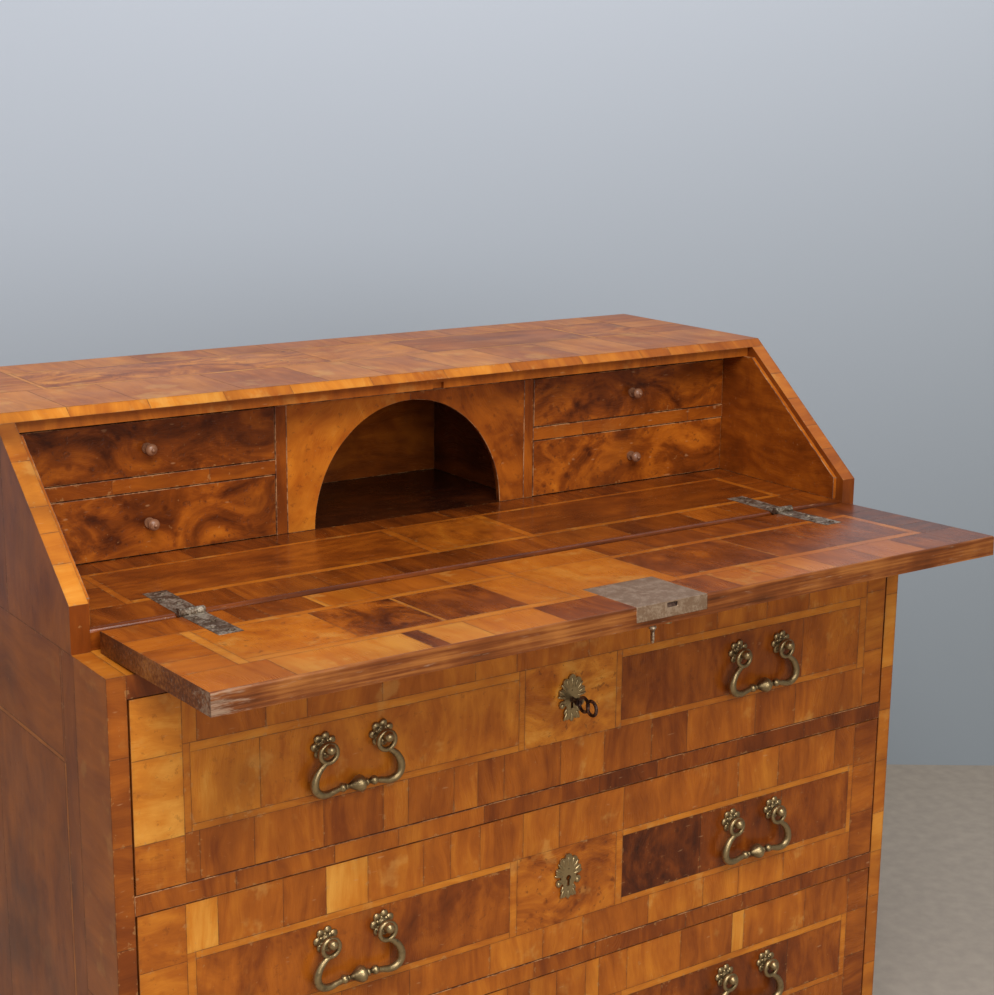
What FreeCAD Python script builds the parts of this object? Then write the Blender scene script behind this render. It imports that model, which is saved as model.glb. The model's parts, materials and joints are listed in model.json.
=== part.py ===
import FreeCAD, Part
import math
import os
import Sketcher
from FreeCAD import Matrix, Rotation, Vector

# A slant-front walnut writing bureau: three long drawers below, a fall that opens forward
# about two strap hinges, and a gallery of four small drawers round an arched pigeonhole.
# Millimetres, +Z up, front towards -Y, origin on the floor under the middle of the open bureau.

SIZES = {
    # case
    "case_width": 1100, "case_depth": 588, "side_thick": 21, "back_thick": 12,
    "foot_height": 60, "foot_radius": 46, "foot_neck_radius": 27, "foot_neck_height": 12,
    "foot_inset": 58, "dowel_radius": 12, "dowel_length": 24, "dowel_fit": 0.1,
    "plinth_height": 26, "plinth_bead_height": 12, "plinth_out": 13, "plinth_bead_out": 6,
    "plinth_wide": 110, "bottom_thick": 20, "rail_thick": 22, "rail_deep": 70,
    "opening_lower": 192, "opening_middle": 192.2, "opening_upper": 208.6,
    "upper_rail_thick": 24.9, "upper_rail_lap": 22, "runner_wide": 45, "kicker_wide": 30,
    # slope, top and cheeks
    "stub_setback": 87.9, "stub_rise": 27.5, "slope_run": 198.7, "slope_rise": 164,
    "top_lip_thick": 9.5, "top_thick": 23, "shoulder_setback": 2.4,
    "liner_thick": 6, "liner_setback": 10, "liner_foot_setback": 4,
    # fall and its hinges
    "axis_setback": 85, "axis_rise": 2, "joint_gap": 6, "fall_thick": 23.4, "fall_deep": 253.4,
    "fall_side_gap": 6.6, "fall_tilt": 2, "fall_seat_gap": 0.3, "nosing_radius": 5,
    "strap_place": 418.5, "strap_wide": 28, "strap_length": 93, "strap_thick": 2,
    "strap_proud": 0.3, "strap_fit": 0.2, "strap_seat_gap": 0.05, "barrel_radius": 4.6, "pin_radius": 2,
    "pin_fit": 0.05, "knuckle_gap": 0.3, "pin_head_radius": 3.4, "pin_head_height": 1.2,
    "nail_radius": 1.2, "nail_fit": 0.05, "nail_length": 15, "nail_head_radius": 3.1,
    "nail_head_height": 1.1, "nail_count": 4, "nail_stagger": 5,
    # locks and keys
    "brass_shift": 15, "shank_radius": 3, "shank_fit": 0.4, "bit_thick": 2.4, "bit_reach": 10,
    "bit_fit": 0.5, "bit_long": 6, "bow_radius": 8.4, "bow_wire": 2, "collar_radius": 4.6,
    "collar_long": 4, "drawer_key_out": 50, "fall_key_out": 32, "bit_inset": 0.6,
    "lock_wide": 74, "lock_thick": 14, "lock_below": 24, "bolt_wide": 30, "bolt_thick": 5,
    "bolt_travel": 8, "bolt_fit": 0.4, "bit_room": 7.2, "mortise_play": 1.5,
    "fall_plate_wide": 97, "fall_plate_long": 94, "fall_plate_thick": 1.8,
    "fall_keyhole_back": 34, "fall_lock_wide": 62, "fall_lock_long": 58, "fall_lock_thick": 12,
    "fall_bolt_wide": 13, "fall_bolt_thick": 4, "fall_bolt_long": 30,
    "selvedge_high": 17,
    # long drawers and their brasses
    "drawer_gap": 1, "drawer_side_gap": 2, "front_thick": 20, "box_gap": 3, "box_side_thick": 12,
    "box_back_thick": 10, "box_bottom_thick": 8, "box_clear_back": 8, "box_drop": 14,
    "box_bottom_rise": 6, "runner_gap": 0.3,
    "handle_place": 291.5, "post_spread": 35.5, "post_rise": 12, "plate_thick": 3,
    "plate_lobe": 6.4, "plate_ring": 9, "ring_seat_gap": 0.3, "stem_radius": 2.4, "ring_out": 12.8,
    "ring_radius": 10.2, "ring_wire": 2, "head_back": 21.2, "head_radius": 8.8, "head_thick": 3,
    "bail_wire": 2.9, "bail_half_width": 54.5, "bail_drop": 46, "knop_radius": 8.6,
    "bead_radius": 5.2, "bead_place": 18,
    "escutcheon_thick": 2.6, "escutcheon_core": 11, "escutcheon_lobe": 5,
    "escutcheon_fan_high": 25.5, "escutcheon_fan_wide": 14.5, "escutcheon_ball": 4.4,
    "escutcheon_tail": 8.5, "escutcheon_tail_drop": 12.5, "escutcheon_tip": 3.2,
    "escutcheon_tip_drop": 22.5,
    "nut_radius": 5.5, "nut_thick": 4, "stem_fit": 0.05,
    # gallery
    "gallery_setback": 325.6, "gallery_rail_thick": 14, "partition_inner": 176.2,
    "partition_thick": 15, "upper_small_tall": 65.5, "shelf_thick": 17.8, "lower_small_tall": 76.2,
    "arch_thick": 8, "arch_half_span": 138, "arch_rise": 149, "pigeon_back_gap": 24,
    "pigeon_back_thick": 8, "small_gap": 0.8, "small_front_thick": 10, "small_side_thick": 6,
    "small_bottom_thick": 4, "small_clear_back": 12, "small_drop": 6, "small_seat_gap": 0.3,
    "knob_base_radius": 6.2, "knob_base_thick": 2, "knob_neck_radius": 3, "knob_radius": 7,
    "knob_half_long": 5.5, "knob_reach": 13, "knob_tip_radius": 2.4,
}

CUT_OVERRUN = 1.0
MATCH_TOLERANCE = 0.01
KNUCKLES = 3
PLATE_LOBES = 7
# the bun is a little taller than the space it fills, so that it has a flat to stand on
FOOT_SWELL_SHARE = 0.56
# the shell's flutes, in degrees from straight up, and where along a flute its second round lies
FAN_DEGREES = (-68, -34, 0, 34, 68)
FLUTE_SHARE = 0.66
# how far the shell's side balls stand off it
BALL_SINK_SHARE = 0.6
# the balls that join a bail's runs are a little thicker than its wire
NECK_BALL_SHARE = 1.08
# which way the poles of a bail's balls point, so that no pole or seam lies on a joint
BALL_POLE = Vector(0.3, 1, 0.2)
# the fall's edges are less rounded than the writing board's nosing
FALL_ROUND_SHARE = 0.5
# each nail is in the middle of its step
NAIL_STEP_SHARE = 0.5
# the right half of a bail, from its ring to its knop, as shares of its half width and its drop
BAIL_SHARES = (
    (0.71, 0.21), (0.90, 0.38), (1.0, 0.68), (0.955, 0.90), (0.80, 1.0), (0.58, 0.96),
    (0.34, 0.90), (0.17, 0.89), (0.0, 0.90),
)

doc = FreeCAD.newDocument("bureau")
sheet = doc.addObject("Spreadsheet::Sheet", "Sizes")
for row, (name, number) in enumerate(SIZES.items(), start=1):
    sheet.set(f"A{row}", name)
    sheet.set(f"B{row}", str(number))
    sheet.setAlias(f"B{row}", name)
doc.recompute()


class Size:
    """A length or ratio that knows its value and the sheet formula that gives it."""

    def __init__(self, value, text):
        self.value = value
        self.text = text

    def __add__(self, other):
        other = sized(other)
        return Size(self.value + other.value, f"({self.text} + {other.text})")

    def __sub__(self, other):
        other = sized(other)
        return Size(self.value - other.value, f"({self.text} - {other.text})")

    def __rsub__(self, other):
        return sized(other) - self

    def __mul__(self, other):
        other = sized(other)
        return Size(self.value * other.value, f"({self.text} * {other.text})")

    __radd__ = __add__
    __rmul__ = __mul__

    def __truediv__(self, other):
        other = sized(other)
        return Size(self.value / other.value, f"({self.text} / {other.text})")

    def __neg__(self):
        return Size(-self.value, f"(0 - {self.text})")


def sized(number):
    """The number as a Size, if it isn't one."""
    return number if isinstance(number, Size) else Size(float(number), repr(float(number)))


def cosine(degrees):
    return Size(math.cos(math.radians(degrees.value)), f"cos({degrees.text} * 1 deg)")


def sine(degrees):
    return Size(math.sin(math.radians(degrees.value)), f"sin({degrees.text} * 1 deg)")


S = {name: Size(float(number), f"Sizes.{name}") for name, number in SIZES.items()}
OVER = sized(CUT_OVERRUN)
ZERO = sized(0)
parts = []


# Levels and planes that the pieces share
fall_reach = S["joint_gap"] + S["fall_deep"]
fall_low = S["axis_rise"] + S["fall_thick"]
tilt_cos = cosine(S["fall_tilt"])
tilt_sin = sine(S["fall_tilt"])
reach_forward = fall_reach * tilt_cos + fall_low * tilt_sin - S["axis_setback"]
front = (reach_forward - S["case_depth"]) / 2
back = front + S["case_depth"]
back_inner = back - S["back_thick"]
half = S["case_width"] / 2
inner = half - S["side_thick"]
plinth_low = S["foot_height"]
case_low = plinth_low + S["plinth_height"]
floor_lower = case_low + S["bottom_thick"]
ceiling_lower = floor_lower + S["opening_lower"]
floor_middle = ceiling_lower + S["rail_thick"]
ceiling_middle = floor_middle + S["opening_middle"]
floor_upper = ceiling_middle + S["rail_thick"]
ceiling_upper = floor_upper + S["opening_upper"]
ledge = ceiling_upper + S["upper_rail_thick"]
seat_drop = fall_low * tilt_cos - S["joint_gap"] * tilt_sin - S["axis_rise"]
desk = ledge + seat_drop + S["fall_seat_gap"]
axis_y = front + S["axis_setback"]
axis_z = desk + S["axis_rise"]
desk_front = axis_y + S["joint_gap"]
stub_y = front + S["stub_setback"]
stub_z = desk + S["stub_rise"]
top_front = stub_y + S["slope_run"]
top = stub_z + S["slope_rise"]
lip_low = top - S["top_lip_thick"]
under_top = top - S["top_thick"]
gallery_front = front + S["gallery_setback"]
gallery_side = inner - S["liner_thick"]
lower_small_top = desk + S["lower_small_tall"]
upper_small_low = lower_small_top + S["shelf_thick"]
gallery_rail_low = upper_small_low + S["upper_small_tall"]


def slope_at(height):
    """The depth at which the slant crosses a level."""
    return stub_y + (height - stub_z) * S["slope_run"] / S["slope_rise"]


def tie(thing, name, size):
    """Bind a property to the formula of a size."""
    thing.setExpression(name, sized(size).text)


def place(thing, x, y, z, turn=None):
    """Bind a piece's place, and set how it is turned."""
    if turn:
        thing.Placement = FreeCAD.Placement(Vector(), Rotation(Vector(*turn[0]), turn[1]))
    for mark, size in zip("xyz", (x, y, z)):
        tie(thing, f"Placement.Base.{mark}", size)


def block(name, x, y, z):
    """A straight board between low and high values along each axis."""
    thing = doc.addObject("Part::Box", name)
    for side, (low, high) in zip(("Length", "Width", "Height"), (x, y, z)):
        tie(thing, side, high - low)
    place(thing, x[0], y[0], z[0])
    return thing


# how a cylinder that stands on +Z is turned to lie along another axis
ALONG = {"x": ((0, 1, 0), 90), "y": ((1, 0, 0), -90), "z": None}


def rod(name, start, radius, length, axis):
    """A round bar from a start point along +X, +Y or +Z."""
    thing = doc.addObject("Part::Cylinder", name)
    tie(thing, "Radius", radius)
    tie(thing, "Height", length)
    place(thing, *start, turn=ALONG[axis])
    return thing


def ellipsoid(name, centre, along, across, axis):
    """A ball stretched along one axis."""
    thing = doc.addObject("Part::Ellipsoid", name)
    tie(thing, "Radius1", along)
    tie(thing, "Radius2", across)
    tie(thing, "Radius3", across)
    place(thing, *centre, turn=ALONG[axis])
    return thing


def ring(name, centre, radius, wire, axis):
    """A round ring about one axis."""
    thing = doc.addObject("Part::Torus", name)
    tie(thing, "Radius1", radius)
    tie(thing, "Radius2", wire)
    place(thing, *centre, turn=ALONG[axis])
    return thing


def fuse(name, pieces):
    thing = doc.addObject("Part::MultiFuse", name)
    thing.Shapes = pieces
    return thing


def group(name, pieces):
    """Alike pieces that stay separate solids of one node."""
    thing = doc.addObject("Part::Compound", name)
    thing.Links = pieces
    return thing


def cut(name, base, tools):
    thing = doc.addObject("Part::Cut", name)
    thing.Base = base
    thing.Tool = tools[0] if len(tools) == 1 else fuse(name + "_tools", tools)
    return thing


def common(name, base, tool):
    thing = doc.addObject("Part::Common", name)
    thing.Base = base
    thing.Tool = tool
    return thing


def part(label, thing):
    """Name a finished sub-part: the label is the node's name."""
    thing.Label = label
    parts.append(thing)
    return thing


def origin_plane(body, role):
    return next(plane for plane in body.Origin.OriginFeatures if plane.Role == role)


def outline(body, name, role, points):
    """A closed sketch of straight lines whose corners are bound to sizes."""
    sketch = body.newObject("Sketcher::SketchObject", name)
    sketch.AttachmentSupport = [(origin_plane(body, role), "")]
    sketch.MapMode = "FlatFace"
    count = len(points)
    spots = [Vector(a.value, b.value, 0) for a, b in points]
    for number in range(count):
        sketch.addGeometry(Part.LineSegment(spots[number], spots[(number + 1) % count]), False)
    for number in range(count):
        sketch.addConstraint(Sketcher.Constraint("Coincident", number, 2, (number + 1) % count, 1))
    for number, pair in enumerate(points):
        for kind, size in zip(("DistanceX", "DistanceY"), pair):
            made = sketch.addConstraint(Sketcher.Constraint(kind, -1, 1, number, 1, size.value))
            sketch.setExpression(f"Constraints[{made}]", size.text)
    return sketch


def board(name, points, low, high):
    """A board of one side profile (depth, height), running in X from low to high."""
    body = doc.addObject("PartDesign::Body", name)
    pad = body.newObject("PartDesign::Pad", name + "_pad")
    pad.Profile = outline(body, name + "_profile", "YZ_Plane", points)
    tie(pad, "Length", high - low)
    tie(body, "Placement.Base.x", low)
    body.Tip = pad
    return body


def round_edges(body, spots, radius):
    """Round the edges of a board that run in X through the given (depth, height) corners."""
    doc.recompute()
    sharp = body.Tip
    shape = sharp.Shape
    names = []
    for number, edge in enumerate(shape.Edges, start=1):
        first, last = edge.Vertexes[0].Point, edge.Vertexes[-1].Point
        for y, z in spots:
            near = math.hypot(first.y - y.value, first.z - z.value)
            far = math.hypot(last.y - y.value, last.z - z.value)
            if max(near, far) < MATCH_TOLERANCE:
                names.append(f"Edge{number}")
    fillet = body.newObject("PartDesign::Fillet", body.Name + "_round")
    fillet.Base = (sharp, names)
    tie(fillet, "Radius", radius)
    body.Tip = fillet
    return body


def sides(name, make):
    """A left and a right piece from one function of the side's sign."""
    return [make(f"{name}_{word}", sign) for word, sign in (("left", -1), ("right", 1))]


def across(sign, near, far):
    """The low and high X of a piece that lies between two distances on one side."""
    return (near, far) if sign > 0 else (-far, -near)


# Case

def case_side(name, sign):
    profile = [
        (front, case_low), (front, ledge), (stub_y, ledge), (stub_y, stub_z),
        (slope_at(lip_low), lip_low), (top_front - S["shoulder_setback"], lip_low),
        (top_front - S["shoulder_setback"], under_top), (back, under_top), (back, case_low),
    ]
    return board(name, profile, *across(sign, inner, half))


def bolt_mortise(name, ceiling, centre_y):
    """The slot over a drawer's lock that its bolt rises into."""
    wide = S["bolt_wide"] / 2 + S["mortise_play"]
    thick = S["bolt_thick"] / 2 + S["mortise_play"]
    deep = S["bolt_travel"] + S["mortise_play"]
    return block(
        name,
        (S["brass_shift"] - wide, S["brass_shift"] + wide),
        (centre_y - thick, centre_y + thick),
        (ceiling - OVER, ceiling + deep),
    )


lock_front = front + S["front_thick"]
drawer_bolt_y = lock_front + S["bit_room"] + S["bolt_fit"] + S["bolt_thick"] / 2


def case_rail(name, low, high, depth):
    plank = block(name + "_plank", (-inner, inner), (front, front + depth), (low, high))
    return cut(name, plank, [bolt_mortise(name + "_mortise", low, drawer_bolt_y)])


def bun_foot(name, x, y):
    """A turned bun, flattened where it stands, with its neck and the dowel that holds it."""
    belly = S["foot_height"] - S["foot_neck_height"]
    bun = ellipsoid(name + "_bun", (x, y, belly / 2), belly * FOOT_SWELL_SHARE, S["foot_radius"], "z")
    slab = block(
        name + "_slab",
        (x - S["foot_radius"], x + S["foot_radius"]),
        (y - S["foot_radius"], y + S["foot_radius"]),
        (ZERO, belly),
    )
    neck = rod(
        name + "_neck", (x, y, belly - S["foot_neck_height"]), S["foot_neck_radius"],
        S["foot_neck_height"] * 2, "z",
    )
    dowel = rod(name + "_dowel", (x, y, S["foot_height"]), S["dowel_radius"], S["dowel_length"], "z")
    return fuse(name, [common(name + "_belly", bun, slab), neck, dowel])


foot_spots = [
    (x, y)
    for x in (-half + S["foot_inset"], half - S["foot_inset"])
    for y in (front + S["foot_inset"], back - S["foot_inset"])
]


def plinth():
    """A moulded frame under the case: a fillet below, a bead above, bored for the dowels."""
    bead_low = case_low - S["plinth_bead_height"]
    out, bead_out = S["plinth_out"], S["plinth_bead_out"]
    lower = block(
        "plinth_lower", (-half - out, half + out), (front - out, back), (plinth_low, bead_low)
    )
    upper = block(
        "plinth_upper", (-half - bead_out, half + bead_out), (front - bead_out, back),
        (bead_low, case_low),
    )
    wide = S["plinth_wide"]
    tools = [block(
        "plinth_hole",
        (-half + wide, half - wide), (front + wide, back - wide),
        (plinth_low - OVER, case_low + OVER),
    )]
    for number, (x, y) in enumerate(foot_spots, start=1):
        tools.append(rod(
            f"plinth_bore_{number}", (x, y, plinth_low - OVER),
            S["dowel_radius"] + S["dowel_fit"], S["dowel_length"] + OVER + OVER, "z",
        ))
    return cut("plinth_frame", fuse("plinth_whole", [lower, upper]), tools)


def top_board():
    """The top: its front edge is bevelled in the plane of the slant, rebated behind."""
    shoulder = top_front - S["shoulder_setback"]
    profile = [
        (slope_at(lip_low), lip_low), (top_front, top), (back, top), (back, under_top),
        (shoulder, under_top), (shoulder, lip_low),
    ]
    wide = S["fall_bolt_wide"] / 2 + S["mortise_play"]
    keep = block(
        "top_keep", (S["brass_shift"] - wide, S["brass_shift"] + wide),
        (shoulder - OVER, shoulder + S["fall_bolt_thick"] + S["mortise_play"]),
        (under_top - OVER, under_top + S["bolt_travel"]),
    )
    return cut("top", board("top_plank", profile, -half, half), [keep])


def strap_spots(sign):
    """The low and high X of a strap hinge's leaf."""
    return across(sign, S["strap_place"] - S["strap_wide"] / 2, S["strap_place"] + S["strap_wide"] / 2)


def nail_spots(sign, y_zero, direction):
    """The places of a leaf's nails: in a row, staggered from side to side."""
    step = (S["strap_length"] - S["barrel_radius"] * 2) / S["nail_count"]
    spots = []
    for number in range(int(SIZES["nail_count"])):
        y = y_zero + (S["barrel_radius"] * 2 + step * (number + NAIL_STEP_SHARE)) * direction
        x = sized(sign) * S["strap_place"] + S["nail_stagger"] * (1 if number % 2 else -1)
        spots.append((x, y))
    return spots


def leaf_cuts(name, y_zero, z_surface, direction):
    """What is let into a board for both leaves: the recesses and the nail holes."""
    tools = []
    for word, sign in (("left", -1), ("right", 1)):
        low, high = strap_spots(sign)
        fit = S["strap_fit"]
        near = y_zero - OVER * direction
        far = y_zero + (S["strap_length"] + fit) * direction
        tools.append(block(
            f"{name}_recess_{word}", (low - fit, high + fit),
            (near, far) if direction > 0 else (far, near),
            (z_surface - S["strap_thick"] + S["strap_proud"] - S["strap_seat_gap"], z_surface + OVER),
        ))
        for number, (x, y) in enumerate(nail_spots(sign, y_zero, direction), start=1):
            tools.append(rod(
                f"{name}_hole_{word}_{number}", (x, y, z_surface - S["nail_length"] - OVER),
                S["nail_radius"] + S["nail_fit"], S["nail_length"] + OVER * 2, "z",
            ))
    return tools


def straps(name, y_zero, z_axis, direction, middle):
    """Two hinge leaves with their knuckles: the outer pair, or the middle one."""
    third = S["strap_wide"] / KNUCKLES
    gap = S["knuckle_gap"] / 2
    surface = z_axis - S["axis_rise"]
    low_z, high_z = surface - S["strap_thick"] + S["strap_proud"], surface + S["strap_proud"]
    made = []
    for word, sign in (("left", -1), ("right", 1)):
        low, high = strap_spots(sign)
        spans = [(low, low + third - gap), (high - third + gap, high)]
        if middle:
            spans = [(low + third + gap, high - third - gap)]
        near = y_zero + (S["barrel_radius"] + S["knuckle_gap"]) * direction
        far = y_zero + S["strap_length"] * direction
        pieces = [block(
            f"{name}_leaf_{word}", (low, high), (near, far) if direction > 0 else (far, near),
            (low_z, high_z),
        )]
        for number, (start, end) in enumerate(spans, start=1):
            pieces.append(rod(
                f"{name}_barrel_{word}_{number}", (start, y_zero, z_axis), S["barrel_radius"],
                end - start, "x",
            ))
            reach = near + S["knuckle_gap"] * direction
            pieces.append(block(
                f"{name}_tab_{word}_{number}", (start, end),
                (y_zero, reach) if direction > 0 else (reach, y_zero), (low_z, high_z),
            ))
        tools = [rod(
            f"{name}_bore_{word}", (low - OVER, y_zero, z_axis), S["pin_radius"] + S["pin_fit"],
            S["strap_wide"] + OVER * 2, "x",
        )]
        for number, (x, y) in enumerate(nail_spots(sign, y_zero, direction), start=1):
            tools.append(rod(
                f"{name}_eye_{word}_{number}", (x, y, low_z - OVER),
                S["nail_radius"] + S["nail_fit"], S["strap_thick"] + OVER * 2, "z",
            ))
        made.append(cut(f"{name}_{word}", fuse(f"{name}_whole_{word}", pieces), tools))
    return made


def nails(name, y_zero, z_axis, direction):
    """Round-headed nails that hold the leaves, four to each."""
    surface = z_axis - S["axis_rise"] + S["strap_proud"]
    made = []
    for word, sign in (("left", -1), ("right", 1)):
        for number, (x, y) in enumerate(nail_spots(sign, y_zero, direction), start=1):
            label = f"{name}_{word}_{number}"
            shank = rod(
                label + "_shank", (x, y, surface - S["nail_length"]), S["nail_radius"],
                S["nail_length"] + S["nail_head_height"] / 2, "z",
            )
            head = rod(
                label + "_head", (x, y, surface), S["nail_head_radius"], S["nail_head_height"], "z"
            )
            made.append(fuse(label, [shank, head]))
    return made


def hinge_pins():
    """The pins of both hinges, headed at each end."""
    made = []
    for word, sign in (("left", -1), ("right", 1)):
        low, high = strap_spots(sign)
        label = "hinge_pin_" + word
        pin = rod(
            label + "_bar", (low - S["pin_head_height"], axis_y, axis_z), S["pin_radius"],
            S["strap_wide"] + S["pin_head_height"] * 2, "x",
        )
        heads = [
            rod(f"{label}_head_{number}", (x, axis_y, axis_z), S["pin_head_radius"],
                S["pin_head_height"], "x")
            for number, x in enumerate((low - S["pin_head_height"], high), start=1)
        ]
        made.append(fuse(label, [pin] + heads))
    return group("hinge_pins", made)


def writing_board():
    profile = [(desk_front, ledge), (desk_front, desk), (back_inner, desk), (back_inner, ledge)]
    plank = board("writing_plank", profile, -inner, inner)
    round_edges(plank, [(desk_front, desk)], S["nosing_radius"])
    return cut("writing", plank, leaf_cuts("writing", axis_y, desk, 1))


def runner_set():
    """Strips on the cheeks that carry the upper drawers, and the pair that keeps one level."""
    made = []
    behind = front + S["rail_deep"]
    for word, sign in (("left", -1), ("right", 1)):
        x = across(sign, inner - S["runner_wide"], inner)
        for name, low in (("middle", ceiling_lower), ("upper", ceiling_middle)):
            made.append(block(
                f"runner_{name}_{word}", x, (behind, back_inner), (low, low + S["rail_thick"])
            ))
        kick_front = stub_y + S["upper_rail_lap"]
        made.append(block(
            f"kicker_{word}", across(sign, inner - S["kicker_wide"], inner),
            (kick_front, back_inner), (ceiling_upper, ledge),
        ))
    return group("runners", made)


def cheek_liner(name, sign):
    """A thin panel inside a cheek, cut to follow the slant a little behind it."""
    set_back = S["liner_setback"]
    foot_y = desk_front + S["liner_foot_setback"] + S["nosing_radius"]
    break_z = stub_z + (foot_y - set_back - stub_y) * S["slope_rise"] / S["slope_run"]
    profile = [
        (foot_y, desk), (foot_y, break_z), (slope_at(under_top) + set_back, under_top),
        (back_inner, under_top), (back_inner, desk),
    ]
    return board(name, profile, *across(sign, gallery_side, inner))


def carve(name, shape):
    """A piece whose shape is worked out here from the sheet's sizes."""
    thing = doc.addObject("Part::Feature", name)
    thing.Shape = shape
    return thing


def arch_panel():
    """The panel between the partitions, with its half-oval opening."""
    width = S["partition_inner"]
    far = gallery_front + S["arch_thick"]
    plank = block("arch_plank", (-width, width), (gallery_front, far), (desk, gallery_rail_low))
    stretch = Matrix()
    stretch.A11, stretch.A33 = S["arch_half_span"].value, S["arch_rise"].value
    depth = (S["arch_thick"] + OVER * 2).value
    disc = Part.makeCylinder(1, depth, Vector(), Vector(0, 1, 0)).transformGeometry(stretch)
    opening = carve("arch_opening", disc)
    place(opening, ZERO, gallery_front - OVER, desk)
    return cut("arch", plank, [opening])


def partition(name, sign):
    """An upright beside the pigeonhole, notched over the gallery's rail."""
    x = across(sign, S["partition_inner"], S["partition_inner"] + S["partition_thick"])
    behind = gallery_front + S["gallery_rail_thick"]
    lower = block(name + "_lower", x, (gallery_front, back_inner), (desk, gallery_rail_low))
    upper = block(name + "_upper", x, (behind, back_inner), (gallery_rail_low, under_top))
    return fuse(name, [lower, upper])


def shelf(name, sign):
    x = across(sign, S["partition_inner"] + S["partition_thick"], gallery_side)
    return block(name, x, (gallery_front, back_inner), (lower_small_top, upper_small_low))


# Brasses and locks

def lobed_plate(name, spot, thick, lobes):
    """A cast plate outlined by overlapping rounds, each a place and a radius."""
    start, axis = spot
    made = []
    for number, (u, v, radius) in enumerate(lobes, start=1):
        made.append(rod(f"{name}_lobe_{number}", start(u, v), radius, thick, axis))
    return fuse(name, made)


def keyhole(name, spot, long):
    """The cut for a key: a round for the shank and a slot below it for the bit."""
    start, axis = spot
    wide = S["bit_thick"] / 2 + S["bit_fit"]
    reach = S["bit_reach"] + S["bit_fit"]
    made_round = rod(name + "_round", start(ZERO, ZERO), S["shank_radius"] + S["shank_fit"], long, axis)
    x, y, z = start(ZERO, ZERO)
    if axis == "y":
        slot = block(name + "_slot", (x - wide, x + wide), (y, y + long), (z - reach, z))
    else:
        slot = block(name + "_slot", (x - wide, x + wide), (y, y + reach), (z, z + long))
    return fuse(name, [made_round, slot])


def shell_lobes():
    """A shell over a leafy tail: five flutes above, a ball each side, three tips below."""
    lobes = [(ZERO, ZERO, S["escutcheon_core"])]
    for degrees in FAN_DEGREES:
        angle = sized(degrees)
        u = S["escutcheon_fan_wide"] * sine(angle)
        v = S["escutcheon_fan_high"] * cosine(angle)
        lobes.append((u, v, S["escutcheon_lobe"]))
        lobes.append((u * FLUTE_SHARE, v * FLUTE_SHARE, S["escutcheon_lobe"]))
    ball_out = S["escutcheon_core"] + S["escutcheon_ball"] * BALL_SINK_SHARE
    for sign in (-1, 1):
        lobes.append((ball_out * sign, -S["escutcheon_ball"], S["escutcheon_ball"]))
        lobes.append((
            S["escutcheon_tip"] * 2 * sign, -S["escutcheon_tip_drop"] + S["escutcheon_tip"] / 2,
            S["escutcheon_tip"],
        ))
    lobes.append((ZERO, -S["escutcheon_tail_drop"], S["escutcheon_tail"]))
    lobes.append((ZERO, -S["escutcheon_tip_drop"], S["escutcheon_tip"]))
    return lobes


def drawer_spot(key_z, y):
    """Places on an upright drawer front: u to the right, v up from the keyhole."""
    return (lambda u, v: (S["brass_shift"] + u, y, key_z + v)), "y"


def fall_spot(z):
    """Places on the fall, in its own frame: v towards its far edge."""
    y = S["fall_keyhole_back"] - fall_reach
    return (lambda u, v: (S["brass_shift"] + u, y - v, z)), "z"


def escutcheon(name, spot, hole_spot):
    plate = lobed_plate(name + "_plate", spot, S["escutcheon_thick"], shell_lobes())
    return cut(name, plate, [keyhole(name + "_hole", hole_spot, S["escutcheon_thick"] + OVER * 2)])


def drawer_lock(name, key_z, high):
    """The lock's box with its room for the bit and its channel for the bolt."""
    shift = S["brass_shift"]
    case = block(
        name + "_case", (shift - S["lock_wide"] / 2, shift + S["lock_wide"] / 2),
        (lock_front, lock_front + S["lock_thick"]), (key_z - S["lock_below"], high),
    )
    room = rod(
        name + "_room", (shift, lock_front - OVER, key_z), S["bit_reach"] + S["bit_fit"],
        S["bit_room"] + OVER, "y",
    )
    play = S["bolt_fit"]
    near = lock_front + S["bit_room"]
    channel = block(
        name + "_channel",
        (shift - S["bolt_wide"] / 2 - play, shift + S["bolt_wide"] / 2 + play),
        (near, near + S["bolt_thick"] + play * 2), (key_z - play, high + OVER),
    )
    return cut(name, case, [room, channel])


def drawer_bolt(name, key_z, high):
    shift = S["brass_shift"]
    near = lock_front + S["bit_room"] + S["bolt_fit"]
    return block(
        name, (shift - S["bolt_wide"] / 2, shift + S["bolt_wide"] / 2),
        (near, near + S["bolt_thick"]), (key_z, high),
    )


def drawer_key(name, key_z):
    """A key in its lock: shank, bit, collar and a bow of two rings in line."""
    shift = S["brass_shift"]
    tip = lock_front + S["bit_inset"] + S["bit_long"]
    bow_far = front - S["drawer_key_out"] + S["bow_radius"] + S["bow_wire"]
    bow_near = bow_far + S["bow_radius"] * 2 - S["bow_wire"]
    bow_end = bow_near + S["bow_radius"]
    shank = rod(name + "_shank", (shift, bow_end, key_z), S["shank_radius"], tip - bow_end, "y")
    collar = rod(
        name + "_collar", (shift, bow_end, key_z), S["collar_radius"], S["collar_long"], "y"
    )
    half_bit = S["bit_thick"] / 2
    bit = block(
        name + "_bit", (shift - half_bit, shift + half_bit), (tip - S["bit_long"], tip),
        (key_z - S["bit_reach"], key_z),
    )
    rings = [
        ring(f"{name}_bow_{number}", (shift, y, key_z), S["bow_radius"], S["bow_wire"], "x")
        for number, y in enumerate((bow_far, bow_near), start=1)
    ]
    return fuse(name, [shank, collar, bit] + rings)


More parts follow.
